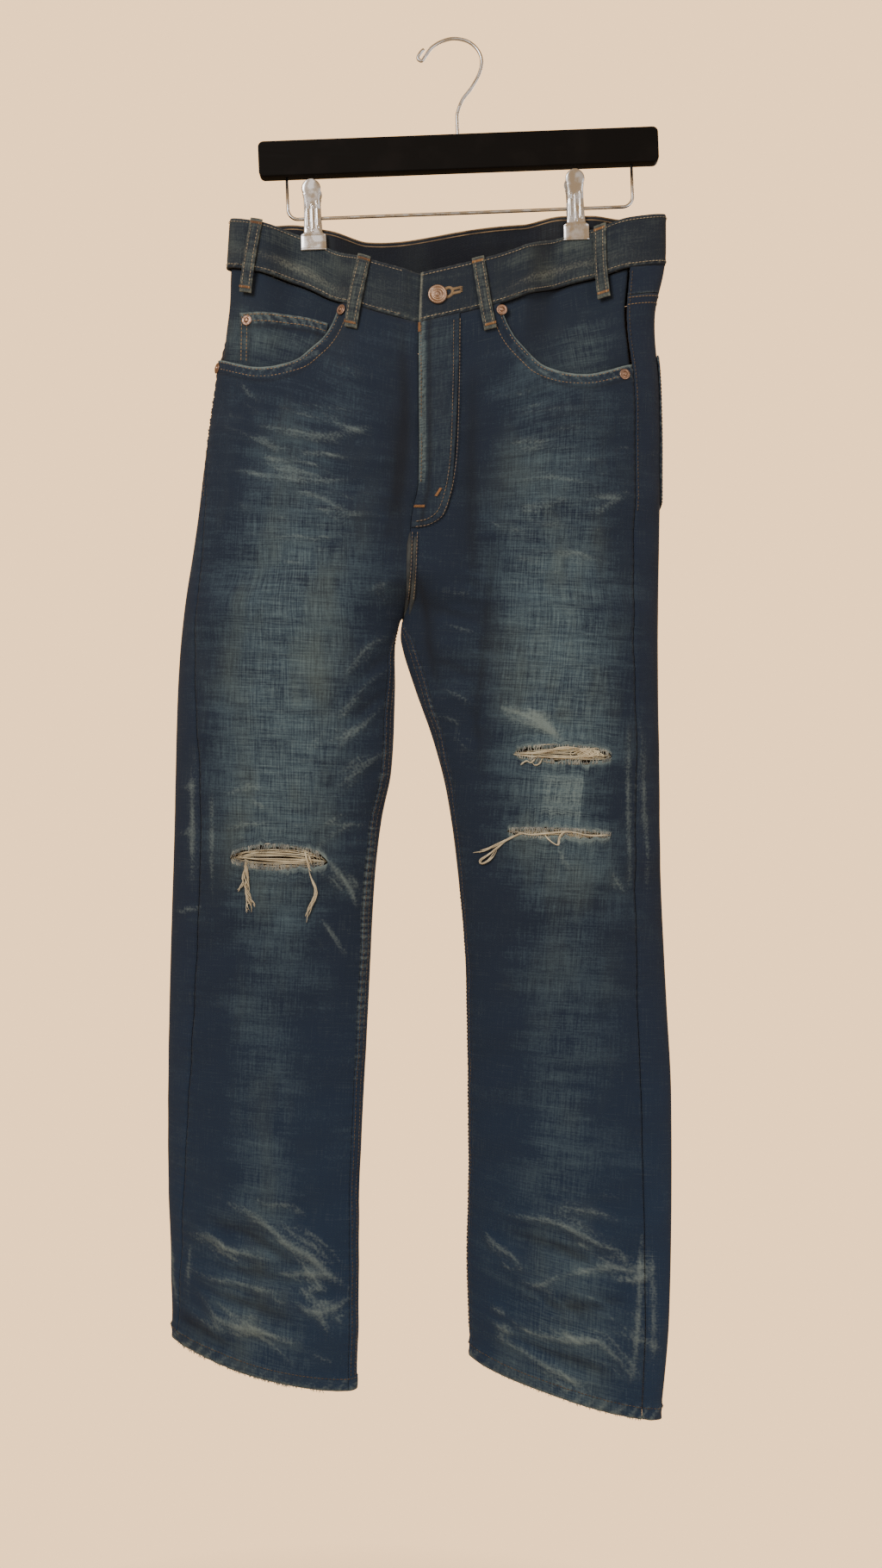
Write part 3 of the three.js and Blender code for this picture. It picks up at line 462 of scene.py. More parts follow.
LEG_CREASES = {"right": [
    (11, -1.0, -1.0, [(-36, 52), (-30, 140), (-32, 220), (-40, 290)]),
    (4, 0.8, 0.7, [(-178, 528), (-156, 521), (-138, 522)]),
    (3, 0.6, 0.6, [(-151, 530), (-139, 539)]),
    (3, 0.7, 0.7, [(-218, 564), (-204, 561)]),
    (4, 0.9, 0.8, [(-174, 560), (-161, 554), (-134, 551)]),
    (3, 0.6, 0.6, [(-85, 550), (-47, 550)]),
    (5, 1.4, 1.0, [(-86, 578), (-73, 593), (-62, 607), (-56, 623)]),
    (4, 1.2, 1.0, [(-86, 634), (-72, 653), (-63, 667)]),
    (3, 0.8, 0.8, [(-222, 636), (-191, 627)]),
    (3, 0.7, 0.6, [(-222, 524), (-204, 520)]),
    (6, 2.4, 1.0, [(-150, 889), (-131, 896), (-112, 907), (-95, 916), (-78, 923), (-64, 935),
                   (-46, 946)]),
    (5, 2.0, 1.0, [(-188, 926), (-171, 924), (-154, 930), (-135, 930), (-109, 931)]),
    (5, 1.8, 0.9, [(-118, 944), (-81, 938), (-61, 937)]),
    (5, 2.0, 0.9, [(-188, 960), (-172, 962), (-146, 958), (-122, 958), (-93, 955)]),
    (5, 2.2, 1.0, [(-178, 982), (-164, 994), (-145, 997), (-123, 994), (-99, 997), (-81, 998)]),
    (4, 1.2, 0.8, [(-134, 978), (-120, 986)]),
    (5, 2.0, 1.0, [(-90, 963), (-75, 969), (-56, 965), (-44, 956)]),
    (4, 1.4, 0.8, [(-69, 970), (-58, 986)]),
    (4, 1.4, 0.9, [(-195, 1001), (-176, 1004), (-158, 1011)]),
    (10, -2.2, -0.9, [(-210, 1010), (-177, 1012), (-148, 1016)]),
    (4.4, 0.4, 0.9, [(-206, 490), (-205, 550), (-202, 610)]),
    (4.0, 0.3, 0.7, [(-188, 518), (-186, 570), (-184, 623)]),
    (4.4, 0.4, 0.9, [(-216, 942), (-211, 975), (-205, 1006)]),
    (4.0, 0.3, 0.7, [(-193, 935), (-194, 993)]),
    (10, -1.8, -0.8, [(-170, 908), (-128, 915), (-92, 930)]),
    (9, -1.8, -0.8, [(-165, 944), (-130, 945), (-90, 946)]),
    (9, -1.8, -0.8, [(-165, 974), (-130, 974), (-95, 978)]),
], "left": [
    (7, -1.0, -0.9, [(-14, 322), (-8, 345), (-3, 368), (0, 390), (8, 420)]),
    (4.2, 0.5, 1.3, [(66, 441), (84, 446), (103, 455), (119, 466)]),
    (3.6, 0.5, 1.0, [(88, 440), (101, 449), (114, 461)]),
    (8, -1.0, -0.7, [(54, 300), (50, 350), (48, 400), (44, 450), (52, 500)]),
    (4, 0.9, 0.8, [(121, 558), (126, 574), (134, 582)]),
    (4, 0.8, 0.7, [(169, 582), (182, 600)]),
    (5, 2.2, 1.0, [(92, 899), (114, 896), (130, 894), (149, 897), (172, 904), (194, 909), (201, 917)]),
    (5, 1.6, 0.8, [(133, 881), (152, 880), (173, 879), (192, 882)]),
    (5, 1.8, 0.9, [(71, 922), (83, 930), (101, 936), (108, 945)]),
    (5, 1.8, 0.9, [(108, 956), (122, 955), (133, 948), (142, 940)]),
    (5, 2.0, 1.0, [(146, 939), (166, 930), (187, 923), (206, 922), (219, 915)]),
    (5, 1.6, 0.8, [(80, 990), (97, 990)]),
    (4, 1.4, 0.8, [(82, 1004), (103, 1006)]),
    (5, 2.0, 0.9, [(84, 1016), (112, 1017), (131, 1022), (155, 1027), (179, 1026)]),
    (5, 2.0, 1.0, [(106, 998), (130, 998), (155, 994), (180, 988), (196, 998), (209, 1010)]),
    (4.4, 0.4, 0.8, [(179, 446), (182, 520), (187, 603)]),
    (4.4, 0.4, 0.8, [(191, 446), (197, 520), (204, 603)]),
    (4.4, 0.4, 0.9, [(212, 890), (213, 950), (212, 995), (210, 1015)]),
    (4.4, 0.4, 0.9, [(222, 903), (226, 950), (228, 1003)]),
    (10, -2.0, -0.8, [(100, 914), (140, 915), (180, 924)]),
    (10, -2.0, -0.8, [(110, 970), (150, 966), (195, 950)]),
    (9, -1.8, -0.8, [(105, 1007), (150, 1009), (190, 1012)]),
]}
# How faded the cloth is down a leg: where the fade's middle stands, half how wide it is, and how
# strong it is.
FADES = {
    "right": {"centre": [(45, -112), (300, -122), (584, -128), (1040, -126)],
              "half": [(45, 46), (250, 58), (500, 56), (640, 42), (800, 30), (1040, 60)],
              "strength": [(45, 0.1), (150, 0.2), (240, 0.45), (330, 0.76), (400, 0.84), (560, 0.82),
                           (640, 0.45), (740, 0.36), (860, 0.37), (940, 0.44), (1040, 0.46)]},
    "left": {"centre": [(45, 98), (300, 104), (480, 122), (600, 128), (1040, 150)],
             "half": [(45, 46), (250, 50), (480, 50), (600, 45), (700, 36), (840, 34), (1040, 62)],
             "strength": [(45, 0.12), (150, 0.35), (240, 0.6), (400, 0.95), (540, 0.92), (620, 0.45),
                          (740, 0.4), (860, 0.38), (940, 0.5), (1040, 0.52)]},
}
# A rip lies between two shares of its panel's width and opens round its drop.
RIPS = {
    "right": [{"drop": 584, "open": 19, "bow": 3, "from": 0.19, "to": 0.7}],
    "left": [{"drop": 480, "open": 13, "bow": 0, "from": 0.15, "to": 0.58},
             {"drop": 550, "open": 6, "bow": 0, "from": 0.15, "to": 0.65}],
}
RIP_REACH = 30
# A square patch worn pale between the left leg's two rips.
WORN_BLOCK = {"x": (97, 141), "drop": (492, 540)}
BACK_CREASES = {"right": [
    (6, 1.5, 0.7, [(-40, 352), (-75, 348), (-120, 338), (-165, 334)]),
    (5, 1.3, 0.6, [(-46, 372), (-88, 370), (-130, 360)]),
    (5, 1.3, 0.7, [(-60, 515), (-100, 522), (-150, 512), (-190, 518)]),
    (5, 1.4, 0.8, [(-56, 540), (-110, 548), (-165, 538), (-200, 545)]),
    (5, 1.4, 0.7, [(-70, 566), (-120, 574), (-180, 566)]),
    (5, 1.2, 0.6, [(-60, 592), (-105, 600), (-160, 592)]),
    (10, -1.6, -0.6, [(-60, 528), (-120, 536), (-185, 530)]),
    (10, -1.6, -0.6, [(-66, 554), (-120, 562), (-185, 554)]),
    (5, 2.0, 1.0, [(-60, 906), (-100, 914), (-150, 906), (-190, 915)]),
    (5, 2.0, 0.9, [(-66, 940), (-120, 934), (-180, 944)]),
    (5, 2.0, 0.9, [(-60, 970), (-110, 978), (-160, 968), (-195, 975)]),
    (5, 1.8, 0.9, [(-70, 1002), (-120, 996), (-185, 1006)]),
    (10, -2.0, -0.8, [(-66, 922), (-120, 926), (-180, 928)]),
    (10, -2.0, -0.8, [(-66, 956), (-120, 954), (-180, 960)]),
], "left": [
    (6, 1.5, 0.7, [(-6, 356), (40, 348), (90, 338), (150, 330)]),
    (5, 1.3, 0.6, [(0, 380), (50, 372), (110, 362)]),
    (5, 1.3, 0.7, [(60, 512), (100, 520), (150, 512), (190, 519)]),
    (5, 1.4, 0.8, [(62, 540), (110, 547), (160, 537), (198, 544)]),
    (5, 1.4, 0.7, [(70, 568), (120, 575), (185, 566)]),
    (5, 1.2, 0.6, [(72, 596), (120, 601), (178, 592)]),
    (10, -1.6, -0.6, [(62, 527), (120, 535), (185, 528)]),
    (10, -1.6, -0.6, [(68, 556), (120, 562), (185, 554)]),
    (5, 2.0, 1.0, [(84, 905), (130, 914), (180, 905), (214, 912)]),
    (5, 2.0, 0.9, [(88, 940), (140, 933), (205, 944)]),
    (5, 2.0, 0.9, [(86, 972), (130, 980), (180, 970), (216, 978)]),
    (5, 1.8, 0.9, [(90, 1010), (140, 1003), (205, 1014)]),
    (10, -2.0, -0.8, [(88, 922), (140, 926), (205, 928)]),
    (10, -2.0, -0.8, [(88, 956), (140, 955), (205, 960)]),
]}
BACK_FADE = 0.7
PANEL_CELL = 2.7
LEVEL_ROWS_FROM = 150
FOLD_EASE = 0.12
rng = np.random.default_rng(7)


def smooth_line(points, step=3.0):
    """Places every few millimetres along a smooth line through points in the plane."""
    points = np.array(points, float)
    lengths = np.concatenate([[0], np.cumsum(np.linalg.norm(np.diff(points, axis=0), axis=1))])
    at = np.linspace(0, lengths[-1], max(int(lengths[-1] / step), 2) + 1)
    share = at / lengths[-1]
    if len(points) == 2:
        return points[0] + (points[1] - points[0]) * share[:, None], share
    knots = [np.column_stack([lengths, points[:, k]]) for k in (0, 1)]
    return np.column_stack([along(k, at) for k in knots]), share


def with_branches(creases):
    """The creases, each raised one with thinner ones that run beside part of it."""
    grown = []
    for width, rise, paleness, points in creases:
        grown.append((width, rise, paleness, points))
        for _ in range(3 if rise > 0.5 and width > 3 else 0):
            line, share = smooth_line(points)
            start = rng.uniform(0, 0.6)
            kept = line[(share >= start) & (share <= start + rng.uniform(0.3, 0.6))]
            if len(kept) > 3:
                apart = rng.choice([-1, 1]) * rng.uniform(0.9, 3.6) * width
                lean = rng.uniform(-0.25, 0.25) * (kept[:, :1] - kept[:1, :1]) * [0, 1]
                branch = offset_line(kept, apart) + lean
                grown.append((0.55 * width, 0.4 * rise, rng.uniform(0.35, 0.85) * paleness, branch))
    return grown


def offset_line(line, apart):
    """A line in the plane, moved sideways."""
    heading = unit(np.gradient(line, axis=0))
    return line + np.column_stack([heading[:, 1], -heading[:, 0]]) * apart


def ridges(x, drop, creases):
    """The height and the paleness that a list of creases gives each point."""
    height, pale = np.zeros_like(x), np.zeros_like(x)
    for width, rise, paleness, points in creases:
        line, share = smooth_line(points)
        low, high = line.min(0) - 2.5 * width, line.max(0) + 2.5 * width
        near = (x > low[0]) & (x < high[0]) & (drop > low[1]) & (drop < high[1])
        if not near.any():
            continue
        apart = np.hypot(x[near][:, None] - line[:, 0], drop[near][:, None] - line[:, 1])
        closest = apart.argmin(1)
        ends = np.sin(math.pi * np.clip(share[closest] * 0.9 + 0.05, 0, 1)) ** 0.6
        across = apart[np.arange(len(closest)), closest] / width
        height[near] += rise * np.exp(-across ** 2) * ends
        crest, flank = np.exp(-(across / 0.42) ** 2), np.exp(-(across / 1.5) ** 2)
        pale[near] += paleness * (0.62 * crest + 0.38 * flank) * ends
    return height, pale


def fine_creases(side, areas):
    """Thin worn lines that cross parts of a front, each bent its own way."""
    lines = []
    for count, (near, far), (high, low), slope, paleness in areas:
        for _ in range(count):
            start, length = rng.uniform(near, far), rng.uniform(22, 60)
            drop, lean = rng.uniform(high, low), slope + rng.normal(0, 0.12)
            x = start + np.array([0, 0.35, 0.7, 1.0]) * length
            bend = rng.normal(0, 0.05, 4) * length
            line = np.column_stack([x, drop + lean * (x - start) + bend])
            width, strength = rng.uniform(1.5, 2.8), rng.uniform(0.5, 1.1)
            lines.append((width, 0.3, strength * paleness, line * [side, 1]))
    return lines


# How many fine creases cross each area, as (count, reach, drop, slope, paleness).
FINE_CREASES = {
    "right": [(34, (45, 150), (105, 330), -0.06, 0.62), (18, (45, 150), (885, 1022), -0.25, 0.75),
              (14, (40, 80), (400, 560), 0.5, 0.55), (10, (60, 160), (640, 860), 0.1, 0.3)],
    "left": [(34, (20, 150), (120, 330), 0.05, 0.6), (18, (75, 185), (880, 1030), 0.22, 0.75),
             (14, (0, 60), (380, 470), 0.4, 0.5), (10, (75, 185), (640, 860), -0.1, 0.3)],
}
WHISKER_STRENGTH = 0.85


def front_folds(name, side):
    whiskers_and_shadows = [(width, rise, WHISKER_STRENGTH * pale, line)
                for width, rise, pale, line in WHISKERS_AND_SHADOWS[name]]
    return with_branches(whiskers_and_shadows + LEG_CREASES[name]) + fine_creases(side, FINE_CREASES[name])


FRONT_FOLDS = {"right": front_folds("right", -1), "left": front_folds("left", 1)}
BACK_FOLDS = {name: with_branches(BACK_CREASES[name]) for name in ("right", "left")}


def fold_fade(turn, drop):
    """1 on the front and the back, easing to 0 at the outer fold and at the legs' inner fold."""
    from_outer = np.abs(turn - 1)
    inner = lerp(1, ease(1 - from_outer, 0, 0.07), ease(drop, 300, CROTCH_DROP))
    return ease(from_outer, 0.0, FOLD_EASE) * inner


SWELLS = [(rng.uniform(45, 110), rng.uniform(-0.6, 0.6), rng.uniform(0, math.tau))
          for _ in range(7)]
SWELL_HEIGHT = 0.32
# Where the inner seam is rubbed pale: its drop, how far it reaches either way, and how strongly.
INNER_RUB = {"right": (640, 150, 0.95), "left": (430, 110, 0.5)}
PUCKER_LENGTH, PUCKER_HEIGHT, PUCKER_REACH = 9.0, 0.5, 6.0
HEM_ROPE_PITCH, INNER_ROPE_PITCH = 11, 6.5


def seam_distance(leg, turn, drop):
    """How far a point lies round the cloth from its leg's side seam and from its inner seam."""
    before, after = turns_around(turn, drop)
    span = np.linalg.norm(face(leg, after, drop) - face(leg, before, drop), axis=-1) / (after - before)
    side = np.abs(turn - 1 - along(leg["outseam"], drop))
    inner = np.abs(np.mod(turn, 2) - (2 - along(leg["inseam"], drop)))
    inner = np.where(drop > CROTCH_DROP, np.minimum(inner, 2 - inner), 9)
    return span * side, span * inner


def edge_falloff(apart, width=2.2):
    """1 on an edge, falling away over a width."""
    return np.exp(-(apart / width) ** 2)


def relief(leg, turn, drop):
    """The height of the cloth's folds, how faded and pale it is, and the painted shade in its troughs, at
    points of one leg.
    """
    x, _, front, _, _ = flat_place(leg, turn, drop)
    name = leg["name"]
    height, pale = ridges(x, drop, FRONT_FOLDS[name])
    behind_height, behind_pale = ridges(x, drop, BACK_FOLDS[name])
    around = np.where(drop > CROTCH_DROP, np.mod(turn, 2), turn)
    free = fold_fade(around, drop)
    height = np.where(front, height, behind_height) * free
    pale = np.where(front, pale, behind_pale) * ease(free, 0, 0.6)
    for length, lean, phase in SWELLS:
        height = height + SWELL_HEIGHT * free * np.sin(math.tau * (drop + lean * x) / length + phase)
    from_side, from_inner = seam_distance(leg, turn, drop)
    apart = np.minimum(from_side, from_inner)
    pucker = np.sin(math.tau * (drop / PUCKER_LENGTH + 0.3 * np.sin(drop / 23)))
    height = height + PUCKER_HEIGHT * pucker * edge_falloff(apart, PUCKER_REACH)
    hem = ease(drop, leg["hem"] - HEM_HEIGHT - 2, leg["hem"] - HEM_HEIGHT)
    rope = np.sin(math.tau * (x + 0.7 * drop) / HEM_ROPE_PITCH + 1.5 * np.sin(x / 19) + np.sin(x / 7))
    rope = rope * (0.6 + 0.4 * np.sin(x / 31 + 1))
    height = height + hem * (0.8 + 0.5 * rope)
    fade = FADES[name]
    place = np.abs(x - along(fade["centre"], drop)) / along(fade["half"], drop)
    strength = along(fade["strength"], drop) * np.where(front, 1, BACK_FADE)
    faded = strength * np.exp(-0.8 * place ** 2.6)
    nick = 0.5 + 0.5 * pucker
    rubbed = 0.5 + 0.5 * np.sin(drop / 37 + leg["side"]) * np.sin(drop / 13)
    low_edge = leg["hem"] - drop
    pale = pale + 0.3 * nick * rubbed * edge_falloff(apart, 3.2) + hem * (0.26 + 0.42 * rope)
    pale = pale + 0.6 * hem * edge_falloff(low_edge, 2)
    middle, reach_down, strength = INNER_RUB[name]
    roped = 0.55 + 0.45 * np.sin(math.tau * drop / INNER_ROPE_PITCH + 2 * np.sin(drop / 17))
    worn_inner = strength * edge_falloff(drop - middle, reach_down)
    behind = (np.mod(turn, 2) > 2 - along(leg["inseam"], drop)) | (np.mod(turn, 2) < 0.5)
    pale = pale + worn_inner * roped * edge_falloff(from_inner, np.where(behind, 11, 1.5))
    # The last value is painted shade, made from the paleness below nought in the troughs.
    return height, np.clip(faded, 0, 1), np.clip(pale, 0, 1.3), np.clip(-pale, 0, 1)


def grid_quads(columns, rows):
    """The cells of a grid whose points are numbered column by column."""
    first = np.arange(columns * rows).reshape(columns, rows)
    corners = [first[:-1, :-1], first[:-1, 1:], first[1:, 1:], first[1:, :-1]]
    return np.stack(corners, -1).reshape(-1, 4)


def tube_faces(tubes, rings, sides):
    """The faces of closed tubes whose points are numbered tube by tube and ring by ring."""
    first = np.arange(tubes * rings * sides).reshape(tubes, rings, sides)
    after = np.roll(first, -1, axis=2)
    quads = np.stack([first[:, :-1], after[:, :-1], after[:, 1:], first[:, 1:]], -1).reshape(-1, 4)
    return [*quads.tolist(), *first[:, 0, ::-1].tolist(), *first[:, -1].tolist()]


def make_object(name, points, faces, materials, face_materials=None, attributes=None):
    """A mesh object from points in millimetres."""
    used, faces_flat = np.unique(np.concatenate([np.ravel(f) for f in faces]), return_inverse=True)
    sizes = [len(f) for f in faces]
    split = np.split(faces_flat, np.cumsum(sizes)[:-1])
    mesh = bpy.data.meshes.new(name)
    mesh.from_pydata((np.asarray(points)[used] * MM).tolist(), [], [s.tolist() for s in split])
    for material in materials:
        mesh.materials.append(material)
    if face_materials is not None:
        mesh.polygons.foreach_set("material_index", np.asarray(face_materials, np.int32))
    for label, values in (attributes or {}).items():
        layer = mesh.attributes.new(label, "FLOAT_VECTOR", "POINT")
        layer.data.foreach_set("vector", np.asarray(values, np.float32)[used].ravel())
    mesh.polygons.foreach_set("use_smooth", np.full(len(faces), True))
    mesh.update()
    made = bpy.data.objects.new(name, mesh)
    bpy.context.scene.collection.objects.link(made)
    return made


def shell(name, outer, inner, quads, materials, attributes):
    """A wall of cloth: its two faces, joined by an edge round every free side."""
    count = len(outer)
    edges = np.concatenate([quads[:, [k, (k + 1) % 4]] for k in range(4)])
    _, where, times = np.unique(np.sort(edges, axis=1), axis=0, return_index=True, return_counts=True)
    free = edges[where[times == 1]]
    sides = np.stack([free[:, 1], free[:, 0], free[:, 0] + count, free[:, 1] + count], -1)
    faces = np.concatenate([quads, quads[:, ::-1] + count, sides])
    kinds = np.concatenate([np.zeros(len(quads)), np.ones(len(quads)), np.zeros(len(sides))])
    doubled = {label: np.concatenate([values, values]) for label, values in attributes.items()}
    return make_object(name, np.concatenate([outer, inner]), faces, materials, kinds, doubled)


def denim(name, deep, worn, pale_thread, weave_depth=0.35 * MM, ground=0.0):
    """Indigo twill: deep where it is new, worn where it has faded, with pale threads on its ridges and
    painted shade in its troughs and under raised edges.
    """
    material, finish = new_material(name)
    place = finish.node("Attribute", {"attribute_name": "cloth"}, None, "Vector")
    state = finish.node("Attribute", {"attribute_name": "wear"}, None, "Vector")
    fade, pale, dark = (finish.node("SeparateXYZ", None, {0: state}, k) for k in range(3))
    warp = finish.noise(place, (0.95, 0.04, 1), 3.0)
    weft = finish.noise(place, (0.045, 0.85, 1), 3.0)
    grain = finish.noise(place, (0.5, 0.5, 1), 4.0)
    cloud = finish.noise(place, (0.022, 0.02, 1), 5.0)
    streak = finish.noise(place, (0.016, 0.13, 1), 6.0)
    slub = (warp - 0.5) * 1.15 + (weft - 0.5) * 0.95 + (grain - 0.5) * 0.8
    rubbed = (cloud - 0.5) * 0.8 + (streak - 0.5) * (fade * 0.7 + 0.42)
    tone = fade * 0.68 + ground - 0.08 + rubbed + slub * (fade * 0.75 + 0.45)
    across, down = (finish.node("SeparateXYZ", None, {0: place}, k) for k in (0, 1))
    low_deep = tuple(k * c for k, c in zip((1.15, 1.5, 1.6), deep))
    bluer = finish.mix(deep, low_deep, down.between(620.0, 960.0))
    colour = finish.mix(bluer, worn, tone.between(0.0, 1.0))
    broken = pale + (grain - 0.5) * 1.3 + (cloud - 0.5) * 0.5
    crease = broken.between(0.3, 1.25) * pale.between(0.02, 0.35) * 0.78
    bright = (crease + pale * 0.16 + (fade - 0.35) * (warp * weft * 3.0 - 0.62)).between(0.0, 1.0)
    colour = finish.mix(colour, pale_thread, bright * 0.7)
    tint = finish.noise(place, (0.03, 0.011, 1), 2.0).between(0.5, 0.75)
    colour = finish.mix(colour, finish.mix(colour, (0.10, 0.135, 0.115), 0.4), tint * fade)
    # Painted shade: the third state value darkens the cloth in its troughs, under raised edges and down
    # inside the pockets.
    colour = finish.mix(colour, tuple(0.35 * c for c in deep), dark * 0.8)
    twill = ((across * 0.55 + down) * (math.tau / 1.5)).sine() * 0.16
    height = twill + warp * 0.6 + weft * 0.5 + grain * 0.7
    surface(finish, colour, 0.92, bump=height, bump_depth=weave_depth, sheen=0.05)
    return material


DEEP_INDIGO = (0.0050, 0.0165, 0.042)
FADED_BLUE = (0.073, 0.131, 0.176)
PALE_THREAD = (0.21, 0.29, 0.30)
front_denim = denim("faded_denim", DEEP_INDIGO, FADED_BLUE, PALE_THREAD)
inside_denim = denim("denim_inside", (0.020, 0.024, 0.030), (0.24, 0.20, 0.155), (0.36, 0.31, 0.24),
                     ground=0.25)
FRONT_CLOTH = [front_denim, inside_denim]


def shifted_for_rips(leg, shares, drops, rows_drop):
    """Opens each rip like a lens in a grid whose rows stand at rows_drop, doubled at each rip."""
    moved = drops.copy()
    for rip in RIPS[leg["name"]]:
        across = np.clip((2 * shares - rip["from"] - rip["to"]) / (rip["to"] - rip["from"]), -1, 1)
        lens = np.sqrt(1 - across ** 2)
        first = int(np.flatnonzero(rows_drop == rip["drop"])[0])
        ragged = [np.interp(shares, evenly(60), rng.normal(0, 1.5, 60)) * lens for _ in range(2)]
        upper = -(rip["bow"] + rip["open"] / 2) * lens + ragged[0]
        lower = (-rip["bow"] + rip["open"] / 2) * lens + ragged[1]
        near = ease(1 - np.abs(rows_drop - rip["drop"]) / RIP_REACH, 0, 1)
        above = np.arange(len(rows_drop)) <= first
        upper, lower = np.minimum(upper, 0)[:, None], np.maximum(lower, 0)[:, None]
        moved += np.where(above, upper, lower) * near
    return moved


def cloth_place(leg, turns, drops, points, rest):
    """Where each point lies on the cloth, across and along it, for the weave to follow."""
    x, share, front, outer, _ = flat_place(leg, turns, drops)
    deep = np.abs(points[..., 1]) * (1 - share)
    across = np.where(front, leg["side"] * x - deep, leg["side"] * (2 * outer - x) + deep)
    return np.stack([across, rest, np.full(rest.shape, 40.0 * leg["side"])], -1)


def leg_thickness(leg, drop):
    return DENIM * (1 + ease(drop, leg["hem"] - HEM_HEIGHT - 1, leg["hem"] - HEM_HEIGHT))


def cloth_piece(name, leg, turns, drops, materials, state, lift=0.0, thick=DENIM, rest=None, quads=None):
    """A wall of cloth on a grid of turns and drops, raised, worn and darkened with painted shade as its
    state says.
    """
    rest = drops if rest is None else rest
    quads = grid_quads(*turns.shape) if quads is None else quads
    height, faded, pale, dark = (np.broadcast_to(values, turns.shape) for values in state)
    points, normals = cloth(leg, turns, drops)
    outer = points + normals * (height + lift)[..., None]
    inner = outer - normals * np.broadcast_to(thick, turns.shape)[..., None]
    where = cloth_place(leg, turns, drops, points, rest).reshape(-1, 3)
    wear = np.stack([faded, pale, dark], -1).reshape(-1, 3)
    quads = quads[:, ::-1] if leg["side"] > 0 else quads
    attributes = {"cloth": where, "wear": wear}
    return shell(name, outer.reshape(-1, 3), inner.reshape(-1, 3), quads, materials, attributes)


def front_shares_line(leg, shares):
    """The lines down a front at shares of its width, from the side seam to its inner edge."""
    return lambda drop: lerp(outseam(leg, drop, SEAM_GAP), front_inner(leg, drop), shares)


def level_rows(leg):
    low = leg["hem"] - LEVEL_ROWS_FROM
    return np.linspace(LEVEL_ROWS_FROM, leg["hem"], int(low / PANEL_CELL) + 1)


def add_front(leg):
    columns, mouth_rows = 76, 22
    shares = evenly(columns)
    top = mouth_drop(leg, front_shares_line(leg, shares)) + SEAM_GAP / 2
    upper = lerp(top[:, None], LEVEL_ROWS_FROM, evenly(mouth_rows)[None, :-1])
    rows = level_rows(leg)
    for rip in RIPS[leg["name"]]:
        rows = rows[np.abs(rows - rip["drop"]) > PANEL_CELL * 0.6]
        rows = np.sort(np.concatenate([rows, [rip["drop"]] * 2]))
    rest = np.concatenate([upper, np.broadcast_to(rows, (columns, len(rows)))], axis=1)
    rows_drop = np.concatenate([np.full(mouth_rows - 1, LEVEL_ROWS_FROM - 1.0), rows])
    drops = shifted_for_rips(leg, shares, rest, rows_drop)
    turns = front_shares_line(leg, shares[:, None])(drops)
    height, faded, pale, dark = relief(leg, turns, drops)
    from_mouth = rest - top[:, None]
    scooped = ease(top - BAND_HEIGHT, 1, 6)[:, None]
    folded = scooped * ease(11.5 - from_mouth, 0, 2)
    rope = np.sin(math.tau * (rest + 1.3 * 200 * shares[:, None]) / 9)
    height = height + folded * (0.4 + 0.2 * rope)
    pale = pale + folded * (0.2 + 0.24 * rope) + 1.2 * scooped * edge_falloff(from_mouth, 1.8)
    # Painted shade in a line just below the raised hem of the pocket's mouth.
    dark = np.clip(dark + 0.5 * scooped * edge_falloff(from_mouth - 12.5, 1.5), 0, 1)
    if leg is LEFT:
        x = flat_place(leg, turns, drops)[0]
        (near, far), (high, low) = WORN_BLOCK["x"], WORN_BLOCK["drop"]
        inside = ease(x, near, near + 14) * ease(far + 1 - x, 0, 2) * ease(rest, high, high + 6)
        inside = inside * ease(low + 6 - rest, 0, 14)
        beyond = ease(x, far - 1, far + 1) * ease(rest, high - 14, high)
        beyond = beyond * ease(low + 6 - rest, 0, 14)
        pale = pale + 0.55 * inside
        faded = np.clip(faded + 0.3 * inside - 0.35 * beyond, 0, 1.3)
    number = np.arange(turns.size).reshape(turns.shape)
    open_cells = np.zeros((columns - 1, turns.shape[1] - 1), bool)
    alias = number.copy()
    for rip in RIPS[leg["name"]]:
        first = int(np.flatnonzero(rows_drop == rip["drop"])[0])
        torn = (shares > rip["from"]) & (shares < rip["to"])
        alias[~torn, first + 1] = number[~torn, first]
        open_cells[:, first] = True
        apart = np.abs(rest - rip["drop"])
        pale += torn[:, None] * 1.1 * edge_falloff(apart, 4.5)
        height += torn[:, None] * edge_falloff(apart, 7)
    quads = alias.ravel()[grid_quads(*turns.shape)[~open_cells.ravel()]]
    state = (height, faded, pale, dark)
    name = f"front_{leg['name']}_cloth"
    thick = leg_thickness(leg, drops)
    return cloth_piece(name, leg, turns, drops, FRONT_CLOTH, state, thick=thick, rest=rest, quads=quads)


fronts = {leg["name"]: add_front(leg) for leg in LEGS}
for name, front in fronts.items():
    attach(front, "root")
    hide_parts("front_" + name)

# ---- Back panels and yokes ----
# The two back legs are cut like the fronts and wrap round the sides as far as the side seams. A
# yoke shaped like a flat V joins them to the waistband.
YOKE_SIDE_DROP, YOKE_CENTRE_DROP = 70, 106
BACK_COLUMNS, YOKE_ROWS = 72, 20
dark_denim = denim("dark_denim", (0.006, 0.018, 0.046), (0.062, 0.108, 0.142), PALE_THREAD)
yoke_inside = denim("yoke_inside", (0.003, 0.007, 0.017), (0.02, 0.03, 0.05), PALE_THREAD)
BACK_CLOTH = [dark_denim, yoke_inside]
# The back legs' inside face, seen through the knee rips, is a far paler copy of the inside denim: painted
# light inside the leg's shaded tube.
leg_inside_painted_light = denim("leg_inside_painted_light", (0.16, 0.12, 0.085), (0.55, 0.42, 0.29), (0.6, 0.5, 0.38), ground=0.2)


